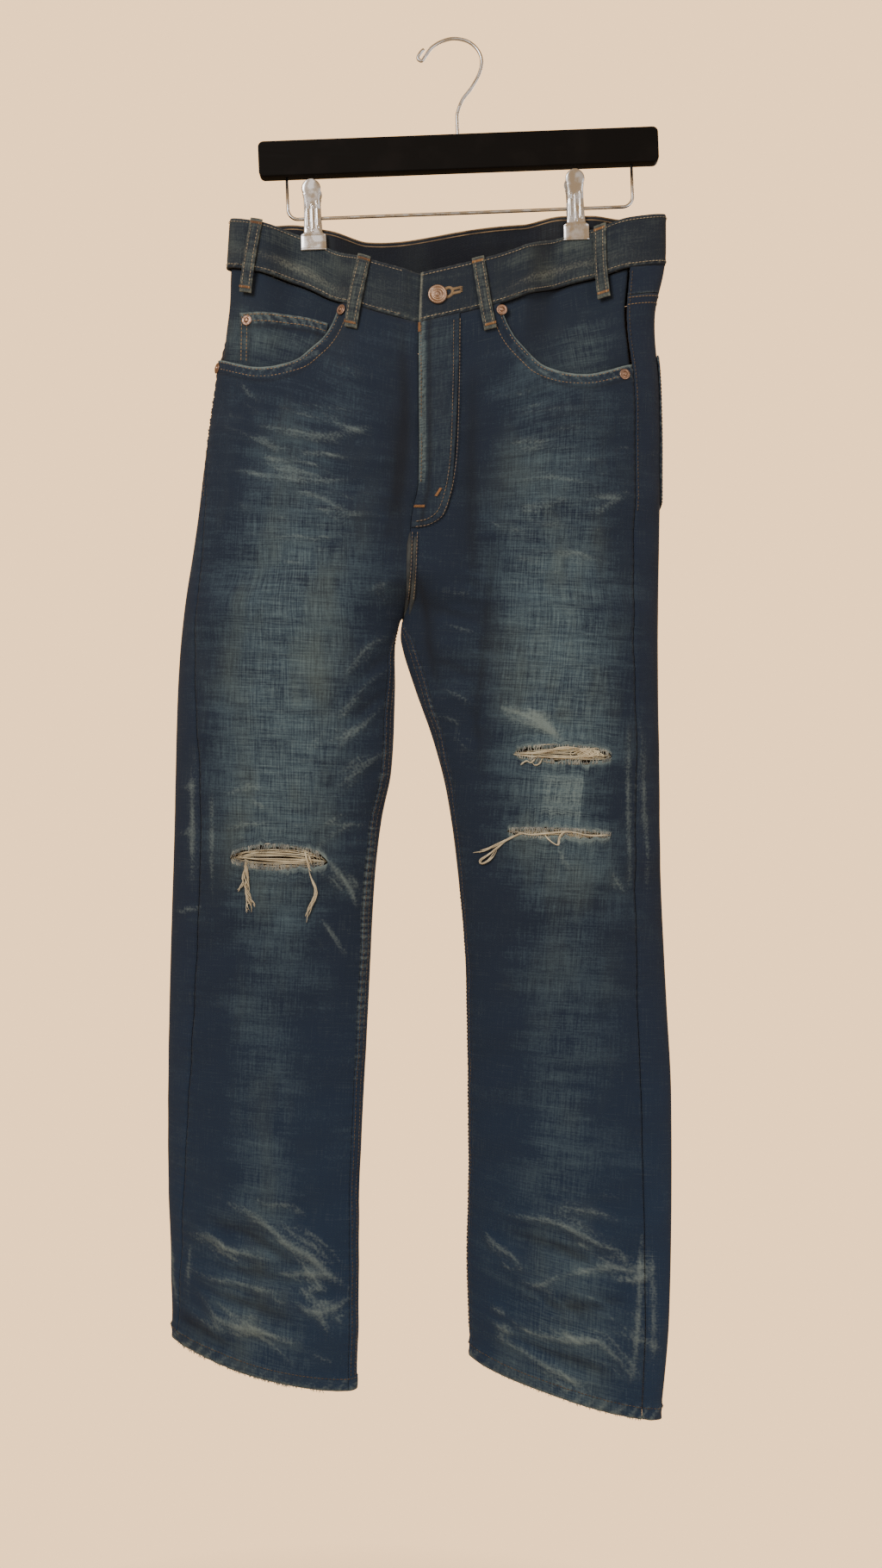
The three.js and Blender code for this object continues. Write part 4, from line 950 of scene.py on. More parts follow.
def yoke_drop(line):
    """The drop at which a line down the cloth meets the seam under the yoke."""
    drop = YOKE_SIDE_DROP + 0 * line(YOKE_SIDE_DROP)
    for _ in range(4):
        across = (1 - np.cos(math.pi * np.minimum(line(drop), 1))) / 2
        drop = lerp(YOKE_CENTRE_DROP, YOKE_SIDE_DROP, across)
    return drop


def back_line(leg, shares):
    return lambda drop: lerp(back_inner(leg, drop), outseam(leg, drop, -SEAM_GAP), shares)


def add_back(leg):
    shares = evenly(BACK_COLUMNS)
    top = yoke_drop(back_line(leg, shares)) + SEAM_GAP
    upper = lerp(top[:, None], LEVEL_ROWS_FROM, evenly(YOKE_ROWS)[None, :-1])
    rows = level_rows(leg)
    drops = np.concatenate([upper, np.broadcast_to(rows, (BACK_COLUMNS, len(rows)))], axis=1)
    turns = back_line(leg, shares[:, None])(drops)
    height, faded, pale, dark = relief(leg, turns, drops)
    pale = pale + 0.35 * edge_falloff(drops - top[:, None], 3)
    return cloth_piece(f"back_{leg['name']}_cloth", leg, turns, drops, [dark_denim, leg_inside_painted_light],
                       (height, faded, pale, dark), thick=leg_thickness(leg, drops))


def add_yoke(leg):
    shares = evenly(BACK_COLUMNS)
    low = yoke_drop(back_line(leg, shares)) - SEAM_GAP
    drops = lerp(BAND_HEIGHT + SEAM_GAP / 2, low[:, None], evenly(YOKE_ROWS)[None, :])
    turns = back_line(leg, shares[:, None])(drops)
    height, faded, pale, dark = relief(leg, turns, drops)
    pale = pale + 0.5 * edge_falloff(low[:, None] - drops, 3)
    state = (height, faded, pale, dark)
    return cloth_piece(f"yoke_{leg['name']}_cloth", leg, turns, drops, BACK_CLOTH, state)


backs = {leg["name"]: add_back(leg) for leg in LEGS}
yokes = {leg["name"]: add_yoke(leg) for leg in LEGS}
for name in ("right", "left"):
    for piece, node in ((backs[name], "back_" + name), (yokes[name], "yoke_" + name)):
        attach(piece, "root")
        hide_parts(node)

# ---- Front pockets ----
# Behind each curved mouth lies a facing of the same denim, sewn in along the waistband and the side
# seam. The right one carries the coin pocket, whose straight top edge is hemmed.
FACING_LIFT, FACING_UNDERLAP = -3.9, 8
FACING_NEAR, FACING_FAR = 63, 178
COIN_POCKET, COIN_LINES = 1.1, (83, 163)
COIN_TOP, COIN_HEM = (68, 86), 12
COIN_LIFT = FACING_LIFT + SEAM_GAP + COIN_POCKET
facing_denim = denim("facing_denim", (0.0065, 0.018, 0.042), (0.072, 0.120, 0.145), PALE_THREAD)


def coin_top(distance):
    near, far = COIN_LINES
    return lerp(*COIN_TOP, (distance - near) / (far - near))


def facing_rows(leg, line, distance, underlap, count):
    low = mouth_drop(leg, line) + underlap
    top = coin_top(distance)
    return top, np.maximum(low, top + underlap), evenly(count)[None, :]


def facing_line(leg, shares):
    return lambda drop: lerp(front_turn(leg, FACING_NEAR, drop), outseam(leg, drop, 2 * SEAM_GAP), shares)


def add_facing(leg):
    shares = evenly(44)
    distance = lerp(FACING_NEAR, FACING_FAR, shares)
    _, low, rows = facing_rows(leg, facing_line(leg, shares), distance, FACING_UNDERLAP, 34)
    drops = lerp(BAND_HEIGHT + SEAM_GAP / 2, low[:, None], rows)
    wide = shares[:, None]
    turns = facing_line(leg, wide)(drops)
    swell = 0.5 * np.sin(drops / 9 + 3 * wide) * np.sin(math.pi * wide)
    faded = 0.5 * edge_falloff(wide - 0.62, 0.22) * ease(drops, 60, 100)
    # Painted shade darkens the facing's lowest 14 mm, which lie down inside the pocket under the front.
    state = (swell, faded, 0.02, 0.5 * edge_falloff(low[:, None] - drops, 14))
    name = f"pocket_facing_{leg['name']}_cloth"
    return cloth_piece(name, leg, turns, drops, [facing_denim, inside_denim], state, lift=FACING_LIFT)


def add_coin_pocket(leg):
    distance = np.linspace(*COIN_LINES, 40)
    line = lambda drop: front_turn(leg, distance, drop)
    top, low, rows = facing_rows(leg, line, distance, FACING_UNDERLAP - 1, 26)
    drops = lerp(top[:, None], low[:, None], rows)
    turns = front_turn(leg, distance[:, None], drops)
    apart = drops - top[:, None]
    far = distance[:, None]
    rope = np.sin(math.tau * (far + 0.8 * apart) / 9 + 1.6 * np.sin(far / 8))
    height = 0.3 * ease(COIN_HEM - apart, 0, 2) + 0.25 * rope * edge_falloff(apart - 5, 5)
    pale = (0.45 + 0.35 * rope) * ease(COIN_HEM + 1 - apart, 0, 4) + 0.5 * edge_falloff(apart)
    sides = np.minimum(distance - COIN_LINES[0], COIN_LINES[1] - distance)[:, None]
    # Painted shade just below the raised hem and towards the foot, which lies down inside the pocket;
    # darker lines also run 9 mm in from the sides.
    dark = 0.7 * edge_falloff(apart - COIN_HEM - 1, 1.6) + 0.5 * edge_falloff(sides - 9, 1.5)
    dark = dark + 0.6 * edge_falloff(low[:, None] - drops, 9)
    state = (height, 0.3 + 0.25 * edge_falloff(apart - 26, 9), pale, dark)
    return cloth_piece("coin_pocket_cloth", leg, turns, drops, [facing_denim, inside_denim], state,
                       lift=COIN_LIFT, thick=COIN_POCKET)


facings = {leg["name"]: add_facing(leg) for leg in LEGS}
coin_pocket = add_coin_pocket(RIGHT)
for piece, node in ((facings["right"], "pocket_facing_right"), (facings["left"], "pocket_facing_left"),
                    (coin_pocket, "coin_pocket")):
    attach(piece, "root")
    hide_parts(node)

# ---- Back pockets ----
# Two five-cornered patches of the same denim, laid on the backs below the yoke. They are hemmed
# along the top and stitched down round the other sides.
BACK_POCKET_SHARES = (0.3, 0.85)
BACK_POCKET_WIDTH, BACK_POCKET_GRID = 128, (52, 60)
BACK_POCKET_TOP = (119, 124)
BACK_POCKET_LOW = {"side": 250, "point": 273}
TRIM, POCKET_LIFT = 1.2, 0.5


def back_pocket_grid(leg, columns, rows):
    """The turns and drops of a back pocket, and how far each point lies inside its edge."""
    across = evenly(columns)
    shares = lerp(*BACK_POCKET_SHARES, across)
    top = lerp(*BACK_POCKET_TOP, across)
    low = lerp(BACK_POCKET_LOW["point"], BACK_POCKET_LOW["side"], np.abs(2 * across - 1))
    drops = lerp(top[:, None], low[:, None], evenly(rows)[None, :])
    turns = back_line(leg, shares[:, None])(drops)
    from_side = np.minimum(across, 1 - across)[:, None] * BACK_POCKET_WIDTH
    return turns, drops, from_side, drops - top[:, None], low[:, None] - drops


def add_back_pocket(leg):
    turns, drops, from_side, from_top, from_low = back_pocket_grid(leg, *BACK_POCKET_GRID)
    height, faded, pale, _ = relief(leg, turns, drops)
    edge = np.minimum(from_side, from_low)
    rope = np.sin(math.tau * (from_side + drops) / 9)
    height = height + 0.35 * edge_falloff(edge - 4, 3) + 0.5 * edge_falloff(from_top - 9, 6)
    pale = 0.6 * pale + (0.35 + 0.25 * rope) * edge_falloff(edge, 4)
    pale = pale + (0.4 + 0.3 * rope) * edge_falloff(from_top, 4)
    # The last value is painted shade in a line just below the hem's raised band.
    state = (height, faded * 0.8 + 0.2, pale, 0.4 * edge_falloff(from_top - 16, 2))
    return cloth_piece(f"back_pocket_{leg['name']}_cloth", leg, turns, drops, BACK_CLOTH, state,
                       lift=POCKET_LIFT + TRIM, thick=TRIM)


back_pockets = {leg["name"]: add_back_pocket(leg) for leg in LEGS}
for name, piece in back_pockets.items():
    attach(piece, "root")
    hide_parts("back_pocket_" + name)

# ---- Fly ----
# The left front's placket, a doubled strip of denim lapped over the right front. Two curved rows
# of stitches hold it down, and its free edge lies on the centre seam.
FLY = {"width": 36, "narrow": 30, "narrow_drop": 258, "curve": 24}


def add_fly(leg):
    shares = evenly(30)[:, None]
    low = FLY["narrow_drop"] + FLY["curve"] * np.sqrt(1 - shares ** 2)
    drops = lerp(BAND_HEIGHT + SEAM_GAP / 2, low, evenly(90)[None, :])
    width = lerp(FLY["width"], FLY["narrow"], ease(drops, BAND_HEIGHT, FLY["narrow_drop"]))
    from_edge = lerp(SEAM_GAP, width, shares)
    turns = front_turn(leg, from_edge, drops)
    height, faded, pale, _ = relief(leg, turns, drops)
    rope = np.sin(math.tau * (drops + from_edge) / 8 + 2.2 * np.sin(drops / 11))
    rope = rope * np.sin(drops / 29 + 1)
    band = ease(7.5 - from_edge, 0, 2) * ease(232 - drops, 0, 6)
    height = 0.5 * height * shares + 0.35 * band + 0.2 * band * rope
    pale = 0.4 * pale + band * (0.42 + 0.2 * rope + 0.25 * edge_falloff(from_edge, 2))
    pale = pale + 0.15 * edge_falloff(width * (1 - shares), 2.5)
    # Painted shade in a line beside the raised, pale edge band.
    dark = 0.7 * edge_falloff(from_edge - 9.5, 2.2)
    state = (height, 0.3 * faded + 0.26 + 0.4 * band, pale, dark)
    return cloth_piece("fly_cloth", leg, turns, drops, [facing_denim, inside_denim], state,
                       lift=SEAM_GAP + TRIM, thick=TRIM)


fly = add_fly(LEFT)
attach(fly, "root")
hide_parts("fly")

# ---- Waistband ----
# One double strip round the waist, rubbed pale along its ridges. Its buttonhole end laps over its
# button end at the centre front.
BAND_THICKNESS, BAND_PROUD = 2.4, 0.6
# Steps round half of the waistband, down to its underlap, and along it.
BAND_STEPS, UNDERLAP_STEPS = 150, (10, 12)
BAND_SEEN = slice(1, 2 * BAND_STEPS - 1)
BUTTON = {"reach": 16, "drop": 24, "radius": 8.6}
UNDERLAP, UNDERLAP_EASE = 32, 16
UNDERLAP_LIFT = BAND_PROUD - BAND_THICKNESS - SEAM_GAP
band_denim = denim("band_denim", (0.008, 0.018, 0.036), (0.10, 0.14, 0.14), (0.33, 0.37, 0.31))
band_inside = denim("band_inside", (0.003, 0.007, 0.017), (0.02, 0.03, 0.05), PALE_THREAD)


def band_course():
    """The legs, turns and lifts along the waistband, from its buttonhole end to its button end."""
    middle = BAND_HEIGHT / 2
    half = evenly(BAND_STEPS)
    down, under = UNDERLAP_STEPS
    left = lerp(front_turn(LEFT, SEAM_GAP, middle), 0, half)
    right = lerp(0, front_turn(RIGHT, UNDERLAP_EASE, middle), half[1:])
    under_right = front_turn(RIGHT, np.linspace(UNDERLAP_EASE, 0.2, down)[1:], middle)
    under_left = front_turn(LEFT, np.linspace(0.5, UNDERLAP, under), middle)
    ease_down = lerp(BAND_PROUD, UNDERLAP_LIFT, ease(evenly(down)[1:], 0, 0.75))
    legs = [LEFT] * len(left) + [RIGHT] * (len(right) + len(under_right)) + [LEFT] * len(under_left)
    turns = np.concatenate([left, right, under_right, under_left])
    lifts = np.concatenate([np.full(len(left) + len(right), BAND_PROUD), ease_down,
                            np.full(len(under_left), UNDERLAP_LIFT)])
    return legs, turns, lifts


def band_strip(drops):
    """Points, normals and lengths round the waistband for a list of drops."""
    legs, turns, lifts = band_course()
    is_left = np.array([leg is LEFT for leg in legs])[:, None, None]
    wide = np.broadcast_arrays(turns[:, None], drops[None, :])
    (left, left_normal), (right, right_normal) = (cloth(leg, *wide) for leg in (LEFT, RIGHT))
    points, normals = np.where(is_left, left, right), np.where(is_left, left_normal, right_normal)
    middle = points[:, len(drops) // 2]
    run = np.concatenate([[0], np.cumsum(np.linalg.norm(np.diff(middle, axis=0), axis=1))])
    return points, normals, lifts[:, None], run[:, None]


def add_waistband():
    drops = np.linspace(0, BAND_HEIGHT - SEAM_GAP / 2, 22)
    points, normals, lifts, run = band_strip(drops)
    down = np.broadcast_to(drops[None, :], points.shape[:2])
    rope = np.sin(math.tau * (run + 0.9 * down) / 8.5 + 1.3 * np.sin(run / 17))
    low_edge, top_edge = BAND_HEIGHT - down, down
    swell = 0.35 * np.sin(run / 21) * np.sin(math.pi * down / BAND_HEIGHT)
    height = swell + 0.35 * rope * edge_falloff(low_edge - 3, 4) + 0.2 * rope * edge_falloff(top_edge - 3, 4)
    x = np.abs(points[..., 0] + 18)
    rubbed = edge_falloff(x - 118, 62) + 0.35 * edge_falloff(x, 22)
    pale = (0.3 + 0.25 * rope) * edge_falloff(low_edge - 2.5, 3)
    pale = pale + (0.3 + 0.2 * rope) * edge_falloff(top_edge, 2)
    pale = pale + 0.5 * rubbed * edge_falloff(down - 32 - 2.5 * np.sin(run / 30), 5.5)
    faded = 0.1 + 0.4 * rubbed * (0.6 + 0.4 * np.sin(run / 11) * np.sin(down / 6))
    pale = pale + 0.9 * edge_falloff(run - 0.8, 1.6)
    height = height - 0.5 * edge_falloff(top_edge, 1.0)
    outer = points + normals * (lifts + height)[..., None]
    inner = outer - normals * (BAND_THICKNESS - 0.6 * edge_falloff(top_edge, 1.0))[..., None]
    where = np.stack([np.broadcast_to(run, down.shape), down, np.full(down.shape, 90.0)], -1)
    # The last value is painted shade along the band's lower edge, where it meets the panels.
    wear = np.stack([faded, np.clip(pale, 0, 1), 0.5 * edge_falloff(low_edge, 1.2)], -1)
    quads = grid_quads(*down.shape)[:, ::-1]
    attributes = {"cloth": where.reshape(-1, 3), "wear": wear.reshape(-1, 3)}
    flat = [p.reshape(-1, 3) for p in (outer, inner)]
    return shell("waistband_cloth", *flat, quads, [band_denim, band_inside], attributes)


waistband = add_waistband()
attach(waistband, "root")
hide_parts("waistband")

# ---- Belt loops ----
# Seven narrow strips of denim, folded in three. Each is caught down above and below the waistband
# by a bar tack.
LOOP = {"width": 10.5, "top": -1.5, "bottom": 67, "thickness": 1.6, "lift": 2.6, "bulge": 1.6}
# Each loop's name, leg, whether it is in front, and its reach at the top and at the bottom.
LOOPS = [("front_right", RIGHT, True, 50, 60), ("front_left", LEFT, True, 50, 63),
         ("side_right", RIGHT, True, 148, 156), ("side_left", LEFT, True, 159, 164),
         ("back_right", RIGHT, False, 90, 90), ("back_left", LEFT, False, 90, 90),
         ("back_centre", RIGHT, False, 0, 0)]


def loop_point(leg, front, distance, drop, lift):
    """Points and normals of a loop, which may cross from one leg to the other at the centre back."""
    sides = []
    for other, sign in ((leg, 1), (LEFT if leg is RIGHT else RIGHT, -1)):
        centre = along(CENTRE_FRONT if front else CENTRE_BACK, drop)
        turn = turn_at(other, centre + other["side"] * sign * distance, drop, front)
        sides.append(cloth(other, turn, drop, lift))
    own = (distance >= 0)[..., None]
    return [np.where(own, first, second) for first, second in zip(*sides)]


def add_loop(name, leg, front, top_reach, bottom_reach):
    share = evenly(30)[None, :]
    across = np.linspace(-0.5, 0.5, 7)[:, None]
    drops = np.broadcast_to(lerp(LOOP["top"], LOOP["bottom"], share), (7, 30))
    distance = lerp(top_reach, bottom_reach, share) + across * LOOP["width"]
    rounding = 0.5 * (2 * np.abs(across)) ** 3
    lift = LOOP["lift"] + LOOP["bulge"] * np.sin(math.pi * share) ** 0.8 - rounding
    points, normals = loop_point(leg, front, distance, drops, np.broadcast_to(lift, drops.shape))
    inner = points - normals * LOOP["thickness"]
    edge = 2 * np.abs(across)
    rope = np.sin(drops / 2.1)
    pale = (0.5 + 0.25 * rope) * edge ** 2 + 0.5 * edge_falloff(drops - LOOP["top"], 3)
    pale = pale + 0.5 * edge_falloff(LOOP["bottom"] - drops, 3) + 0 * drops
    run = np.broadcast_to(across * LOOP["width"] + 30 * top_reach, drops.shape)
    where = np.stack([run, drops, drops * 0 + 7], -1)
    # Darker lines just inside the two rows of stitches.
    dark = 0.4 * (edge_falloff(edge - 0.55, 0.2) + 0 * drops)
    wear = np.stack([np.full(drops.shape, 0.5), pale, dark], -1)
    quads = grid_quads(*drops.shape)
    # Facing the front, a loop's columns run away from the centre; behind, towards it.
    outwards = (leg["side"] > 0) == front
    quads = quads if outwards else quads[:, ::-1]
    attributes = {"cloth": where.reshape(-1, 3), "wear": wear.reshape(-1, 3)}
    flat = [p.reshape(-1, 3) for p in (points, inner)]
    loop = shell(f"belt_loop_{name}_cloth", *flat, quads, [band_denim, band_denim], attributes)
    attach(loop, "root")
    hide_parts("belt_loop_" + name)
    return loop


loops = [add_loop(*loop) for loop in LOOPS]

# ---- Stitching ----
# Golden-brown topstitching in thick cotton, aged to a dull tan, with denser tacks of brighter
# orange where a loop, a pocket or the fly takes the strain.
STITCH = {"pitch": 3.3, "length": 2.7, "radius": 0.38}


def thread_material(name, light, dark):
    material, finish = new_material(name)
    place = finish.node("TexCoord", None, None, output="Object")
    worn = finish.noise(place, (90, 90, 90), 3.0).between(0.3, 0.7)
    fibre = finish.noise(place, (2500, 2500, 2500), 2.0)
    surface(finish, finish.mix(dark, light, worn), 0.8, bump=fibre, bump_depth=0.15 * MM, sheen=0.1)
    return material


gold_thread = thread_material("gold_thread", (0.37, 0.27, 0.155), (0.15, 0.11, 0.07))
brown_thread = thread_material("brown_thread", (0.13, 0.10, 0.07), (0.04, 0.035, 0.035))
tan_thread = thread_material("tan_thread", (0.29, 0.23, 0.16), (0.11, 0.09, 0.075))
cream_thread = thread_material("cream_thread", (0.42, 0.38, 0.28), (0.14, 0.13, 0.11))
seam_cloth = thread_material("seam_cloth", (0.055, 0.07, 0.075), (0.010, 0.016, 0.026))
orange_thread = thread_material("orange_thread", (0.46, 0.245, 0.10), (0.20, 0.10, 0.05))


def resampled(points, normals, pitch):
    """Even places along a line, with the normal and the heading at each."""
    steps = np.linalg.norm(np.diff(points, axis=0), axis=1)
    run = np.concatenate([[0], np.cumsum(steps)])
    count = max(int(run[-1] / pitch), 1)
    at = (np.arange(count) + 0.5) * run[-1] / count
    even, up = ([np.interp(at, run, values[:, k]) for k in range(3)] for values in (points, normals))
    even, up = np.column_stack(even), np.column_stack(up)
    ahead = np.column_stack([np.interp(at + 0.5, run, points[:, k]) for k in range(3)]) - even
    return even, up, unit(ahead)


def stitch_mesh(name, courses, material, radius=STITCH["radius"], pitch=STITCH["pitch"],
                length=STITCH["length"]):
    """Rows of stitches. A course is a line of points on the cloth and the normals there."""
    laid = [resampled(points, normals, pitch) for points, normals in courses]
    centre, up, ahead = (np.concatenate([row[k] for row in laid]) for k in range(3))
    side = np.cross(up, ahead)
    places = np.array([-0.5, -0.22, 0.22, 0.5]) * length
    swell, raised = np.array([0.35, 1.0, 1.0, 0.35]), np.array([-0.25, 0.5, 0.5, -0.25]) * radius
    angles = np.arange(4) * math.pi / 2 + math.pi / 4
    rings = []
    for place, size, lift in zip(places, swell, raised):
        for angle in angles:
            sideways, upwards = radius * size * math.cos(angle), radius * size * math.sin(angle) + lift
            rings.append(centre + ahead * place + side * sideways + up * upwards)
    points = np.stack(rings, 1).reshape(-1, 3)
    sides = [(4 * r + k, 4 * r + (k + 1) % 4, 4 * r + 4 + (k + 1) % 4, 4 * r + 4 + k)
             for r in range(3) for k in range(4)]
    faces = np.array([*sides, (3, 2, 1, 0), (12, 13, 14, 15)])
    all_faces = (faces[None] + 16 * np.arange(len(centre))[:, None, None]).reshape(-1, 4)
    return make_object(name, points, all_faces, [material])


def strands(name, paths, radii, material, sides=5):
    """Round threads along paths of equally many points."""
    paths = np.asarray(paths, float)
    count, steps, _ = paths.shape
    heading = unit(np.gradient(paths, axis=1))
    guide = np.broadcast_to(np.array([0.0, -1.0, 0.15]), heading.shape)
    side = unit(np.cross(heading, guide))
    up = np.cross(side, heading)
    taper = np.minimum(1, 0.35 + 4 * np.minimum(evenly(steps), evenly(steps)[::-1]))
    size = np.asarray(radii)[:, None] * taper[None, :]
    rings = [paths + size[..., None] * (side * math.cos(a) + up * math.sin(a))
             for a in np.arange(sides) * math.tau / sides]
    points = np.stack(rings, 2).reshape(-1, 3)
    return make_object(name, points, tube_faces(count, steps, sides), [material])


def on_panel(leg, turn, drop, lift=0.1):
    """A line over a leg's panels, raised with their folds."""
    turn, drop = np.broadcast_arrays(np.asarray(turn, float), np.asarray(drop, float))
    height = relief(leg, turn, drop)[0]
    return cloth(leg, turn, drop, height + lift)


def front_line(leg, points, lift=0.1):
    """A line over the front through (reach, drop) points, close together."""
    distance, drop = np.asarray(points, float).T
    return on_panel(leg, front_turn(leg, distance, drop), drop, lift)


def mouth_course(leg, apart):
    line, _ = smooth_line(POCKET_MOUTH, 1.5)
    line = offset_line(line, -apart)
    line = line[(line[:, 1] > BAND_HEIGHT + 2) & (line[:, 0] < 180)]
    return front_line(leg, line)


def seam_course(leg, apart, drops):
    """Beside the side seam: behind it where apart is below nought."""
    return on_panel(leg, outseam(leg, drops, apart), drops)


def inseam_course(leg, apart, drops):
    return on_panel(leg, nudge(leg, front_inner(leg, drops), drops, apart), drops)


def hem_course(leg, above, turns):
    return on_panel(leg, turns, np.full(turns.shape, leg["hem"] - above))


def yoke_course(leg, apart):
    line = back_line(leg, evenly(120))
    drop = yoke_drop(line) + apart
    return on_panel(leg, line(drop), drop)


def coin_course(apart):
    distance = np.linspace(COIN_LINES[0] + 1, COIN_LINES[1] - 3, 60)
    drop = coin_top(distance) + apart
    return cloth(RIGHT, front_turn(RIGHT, distance, drop), drop, COIN_LIFT + 0.55)


def coin_side_course(apart):
    drops = np.linspace(coin_top(COIN_LINES[1]) + 2, 131, 40)
    turn = front_turn(RIGHT, COIN_LINES[1] - apart, drops)
    return cloth(RIGHT, turn, drops, COIN_LIFT + 0.2)


def back_pocket_courses(leg, inset):
    """Down one side, along the point and up the other side of a back pocket."""
    turns, drops, _, _, _ = back_pocket_grid(leg, *BACK_POCKET_GRID)
    height = relief(leg, turns, drops)[0] + POCKET_LIFT + TRIM + 0.35
    points, normals = cloth(leg, turns, drops, height)
    column, row = max(int(round(inset / 2.5)), 1), max(int(round(inset / 2.4)), 1)
    sides = [(np.s_[column, 2:-row]), (np.s_[-1 - column, 2:-row]), (np.s_[column:-column, -1 - row])]
    return [(points[where], normals[where]) for where in sides]


def back_pocket_hem(leg, row):
    turns, drops, _, _, _ = back_pocket_grid(leg, *BACK_POCKET_GRID)
    height = relief(leg, turns, drops)[0] + POCKET_LIFT + TRIM + 0.6
    points, normals = cloth(leg, turns, drops, height)
    return points[1:-1, row], normals[1:-1, row]


def band_course_at(drop):
    points, normals, lifts, _ = band_strip(np.array([drop - 0.1, drop, drop + 0.1]))
    seen = BAND_SEEN
    return points[seen, 1] + normals[seen, 1] * (lifts[seen] + 0.35), normals[seen, 1]


# The fly's two curved rows of stitches and the seam below them, as (reach, drop).
FLY_OUTER = [(36.5, 50), (35.5, 118), (33, 199), (30, 240), (29, 258), (26, 270), (16, 278.5),
             (4, 281.5)]
FLY_INNER = [(31, 50), (30, 118), (27.5, 199), (24.5, 240), (23.5, 257), (21, 265.5), (14, 272.5),
             (4, 275.5)]
CENTRE_SEAM = [(1.8, 286), (1.8, 315), (1.8, 348)]


def fly_course(points):
    line, _ = smooth_line(points, 1.5)
    return front_line(LEFT, line, SEAM_GAP + TRIM + 0.55)


def straight_course(leg, start, end, lift):
    return front_line(leg, lerp(np.array(start, float), np.array(end, float), evenly(24)[:, None]), lift)


def add_crotch_seam():
    """The felled seam that runs from under the fly to the crotch, where four layers meet."""
    paths = []
    for across, low in ((-0.5, 362), (4.5, 360)):
        drop = np.linspace(286, low, 34)
        x = along(CENTRE_FRONT, drop) + max(across, 0.4)
        points, _ = cloth(LEFT, turn_at(LEFT, x, drop, True), drop, -1.2)
        points[:, 0] += min(across, 0)
        paths.append(points)
    return strands("crotch_seam", paths, [2.5, 2.3], seam_cloth, sides=10)


def add_binding():
    """The two brown threads that bind the waistband's top edge inside the back."""
    points, normals, lifts, _ = band_strip(np.array([0.0, 1.6, 3.2]))
    seen = slice(BAND_STEPS - 90, BAND_STEPS + 90)
    edge = points[seen, 0] + normals[seen, 0] * (lifts[seen] - BAND_THICKNESS + 0.2)
    under = points[seen, 2] + normals[seen, 2] * (lifts[seen] - BAND_THICKNESS - 0.1)
    return strands("waistband_binding", [edge, under], [0.75, 0.55], gold_thread, sides=6)


def add_stitches():
    long_drops = np.arange(CROTCH_DROP + 8, 1028, 4.0)
    around = np.linspace(0.02, 1.98, 260)
    made = {}
    made["pocket"] = stitch_mesh("pocket_stitches", [
        mouth_course(leg, apart) for leg in LEGS for apart in (2.2, 8.6)
    ] + [coin_course(2.2), coin_course(8.4), coin_side_course(2.0), coin_side_course(7.0)], gold_thread)
    made["fly"] = stitch_mesh("fly_stitches", [
        fly_course(FLY_OUTER), fly_course(FLY_INNER), fly_course([(2.4, 48), (2.4, 140), (2.4, 229)]),
        straight_course(LEFT, CENTRE_SEAM[0], CENTRE_SEAM[-1], 1.6),
        straight_course(LEFT, (6.2, 286), (6.2, 348), 1.4)], tan_thread)
    made["front_seam"] = stitch_mesh("side_seam_stitches", [
        seam_course(leg, -2.4, np.arange(48, 262, 3.0)) for leg in LEGS
    ] + [inseam_course(leg, apart, long_drops) for leg in LEGS for apart in (2.5, 8.0)],
        brown_thread)
    made["hem"] = stitch_mesh(
        "hem_stitches", [hem_course(leg, 10.5, around) for leg in LEGS], brown_thread)
    drop = np.arange(50, 350, 4.0)
    centre = [on_panel(LEFT, turn_at(LEFT, along(CENTRE_BACK, drop) + apart, drop, False), drop)
              for apart in (3.0, 9.0)]
    made["back"] = stitch_mesh("back_stitches", [
        yoke_course(leg, apart) for leg in LEGS for apart in (2.6, 8.6)
    ] + centre, gold_thread)
    for leg in LEGS:
        courses = [c for inset in (2.5, 7.5) for c in back_pocket_courses(leg, inset)]
        courses += [back_pocket_hem(leg, 6)]
        name = leg["name"]
        made["pocket_" + name] = stitch_mesh(f"back_pocket_{name}_stitches", courses, gold_thread)
    rows = [band_course_at(drop) for drop in (3.0, 41.8)]
    made["band"] = stitch_mesh("waistband_stitches", rows, cream_thread)
    loop_courses = []
    for _, leg, front, top_reach, bottom_reach in LOOPS:
        share = np.linspace(0.04, 0.96, 26)
        drops = lerp(LOOP["top"], LOOP["bottom"], share)
        for across in (-3.2, 3.2):
            distance = lerp(top_reach, bottom_reach, share) + across
            lift = LOOP["lift"] + LOOP["bulge"] * np.sin(math.pi * share) ** 0.8
            loop_courses.append(loop_point(leg, front, distance, drops, lift))
    made["loops"] = stitch_mesh("belt_loop_stitches", loop_courses, cream_thread)
    return made


def tack(leg, front, start, end, width, lift):
    """A dense bar of thread across a line from start to end, both (reach, drop)."""
    start, end = np.array(start, float), np.array(end, float)
    heading = unit(end - start)
    across = np.array([-heading[1], heading[0]])
    count = max(int(np.linalg.norm(end - start) / 0.62), 2)
    courses = []
    for share in np.linspace(0, 1, count):
        middle = lerp(start, end, share)
        line = middle + across * np.linspace(-width / 2, width / 2, 5)[:, None]
        distance, drop = line.T
        courses.append(loop_point(leg, front, distance, drop, np.full(drop.shape, lift)))
    return courses


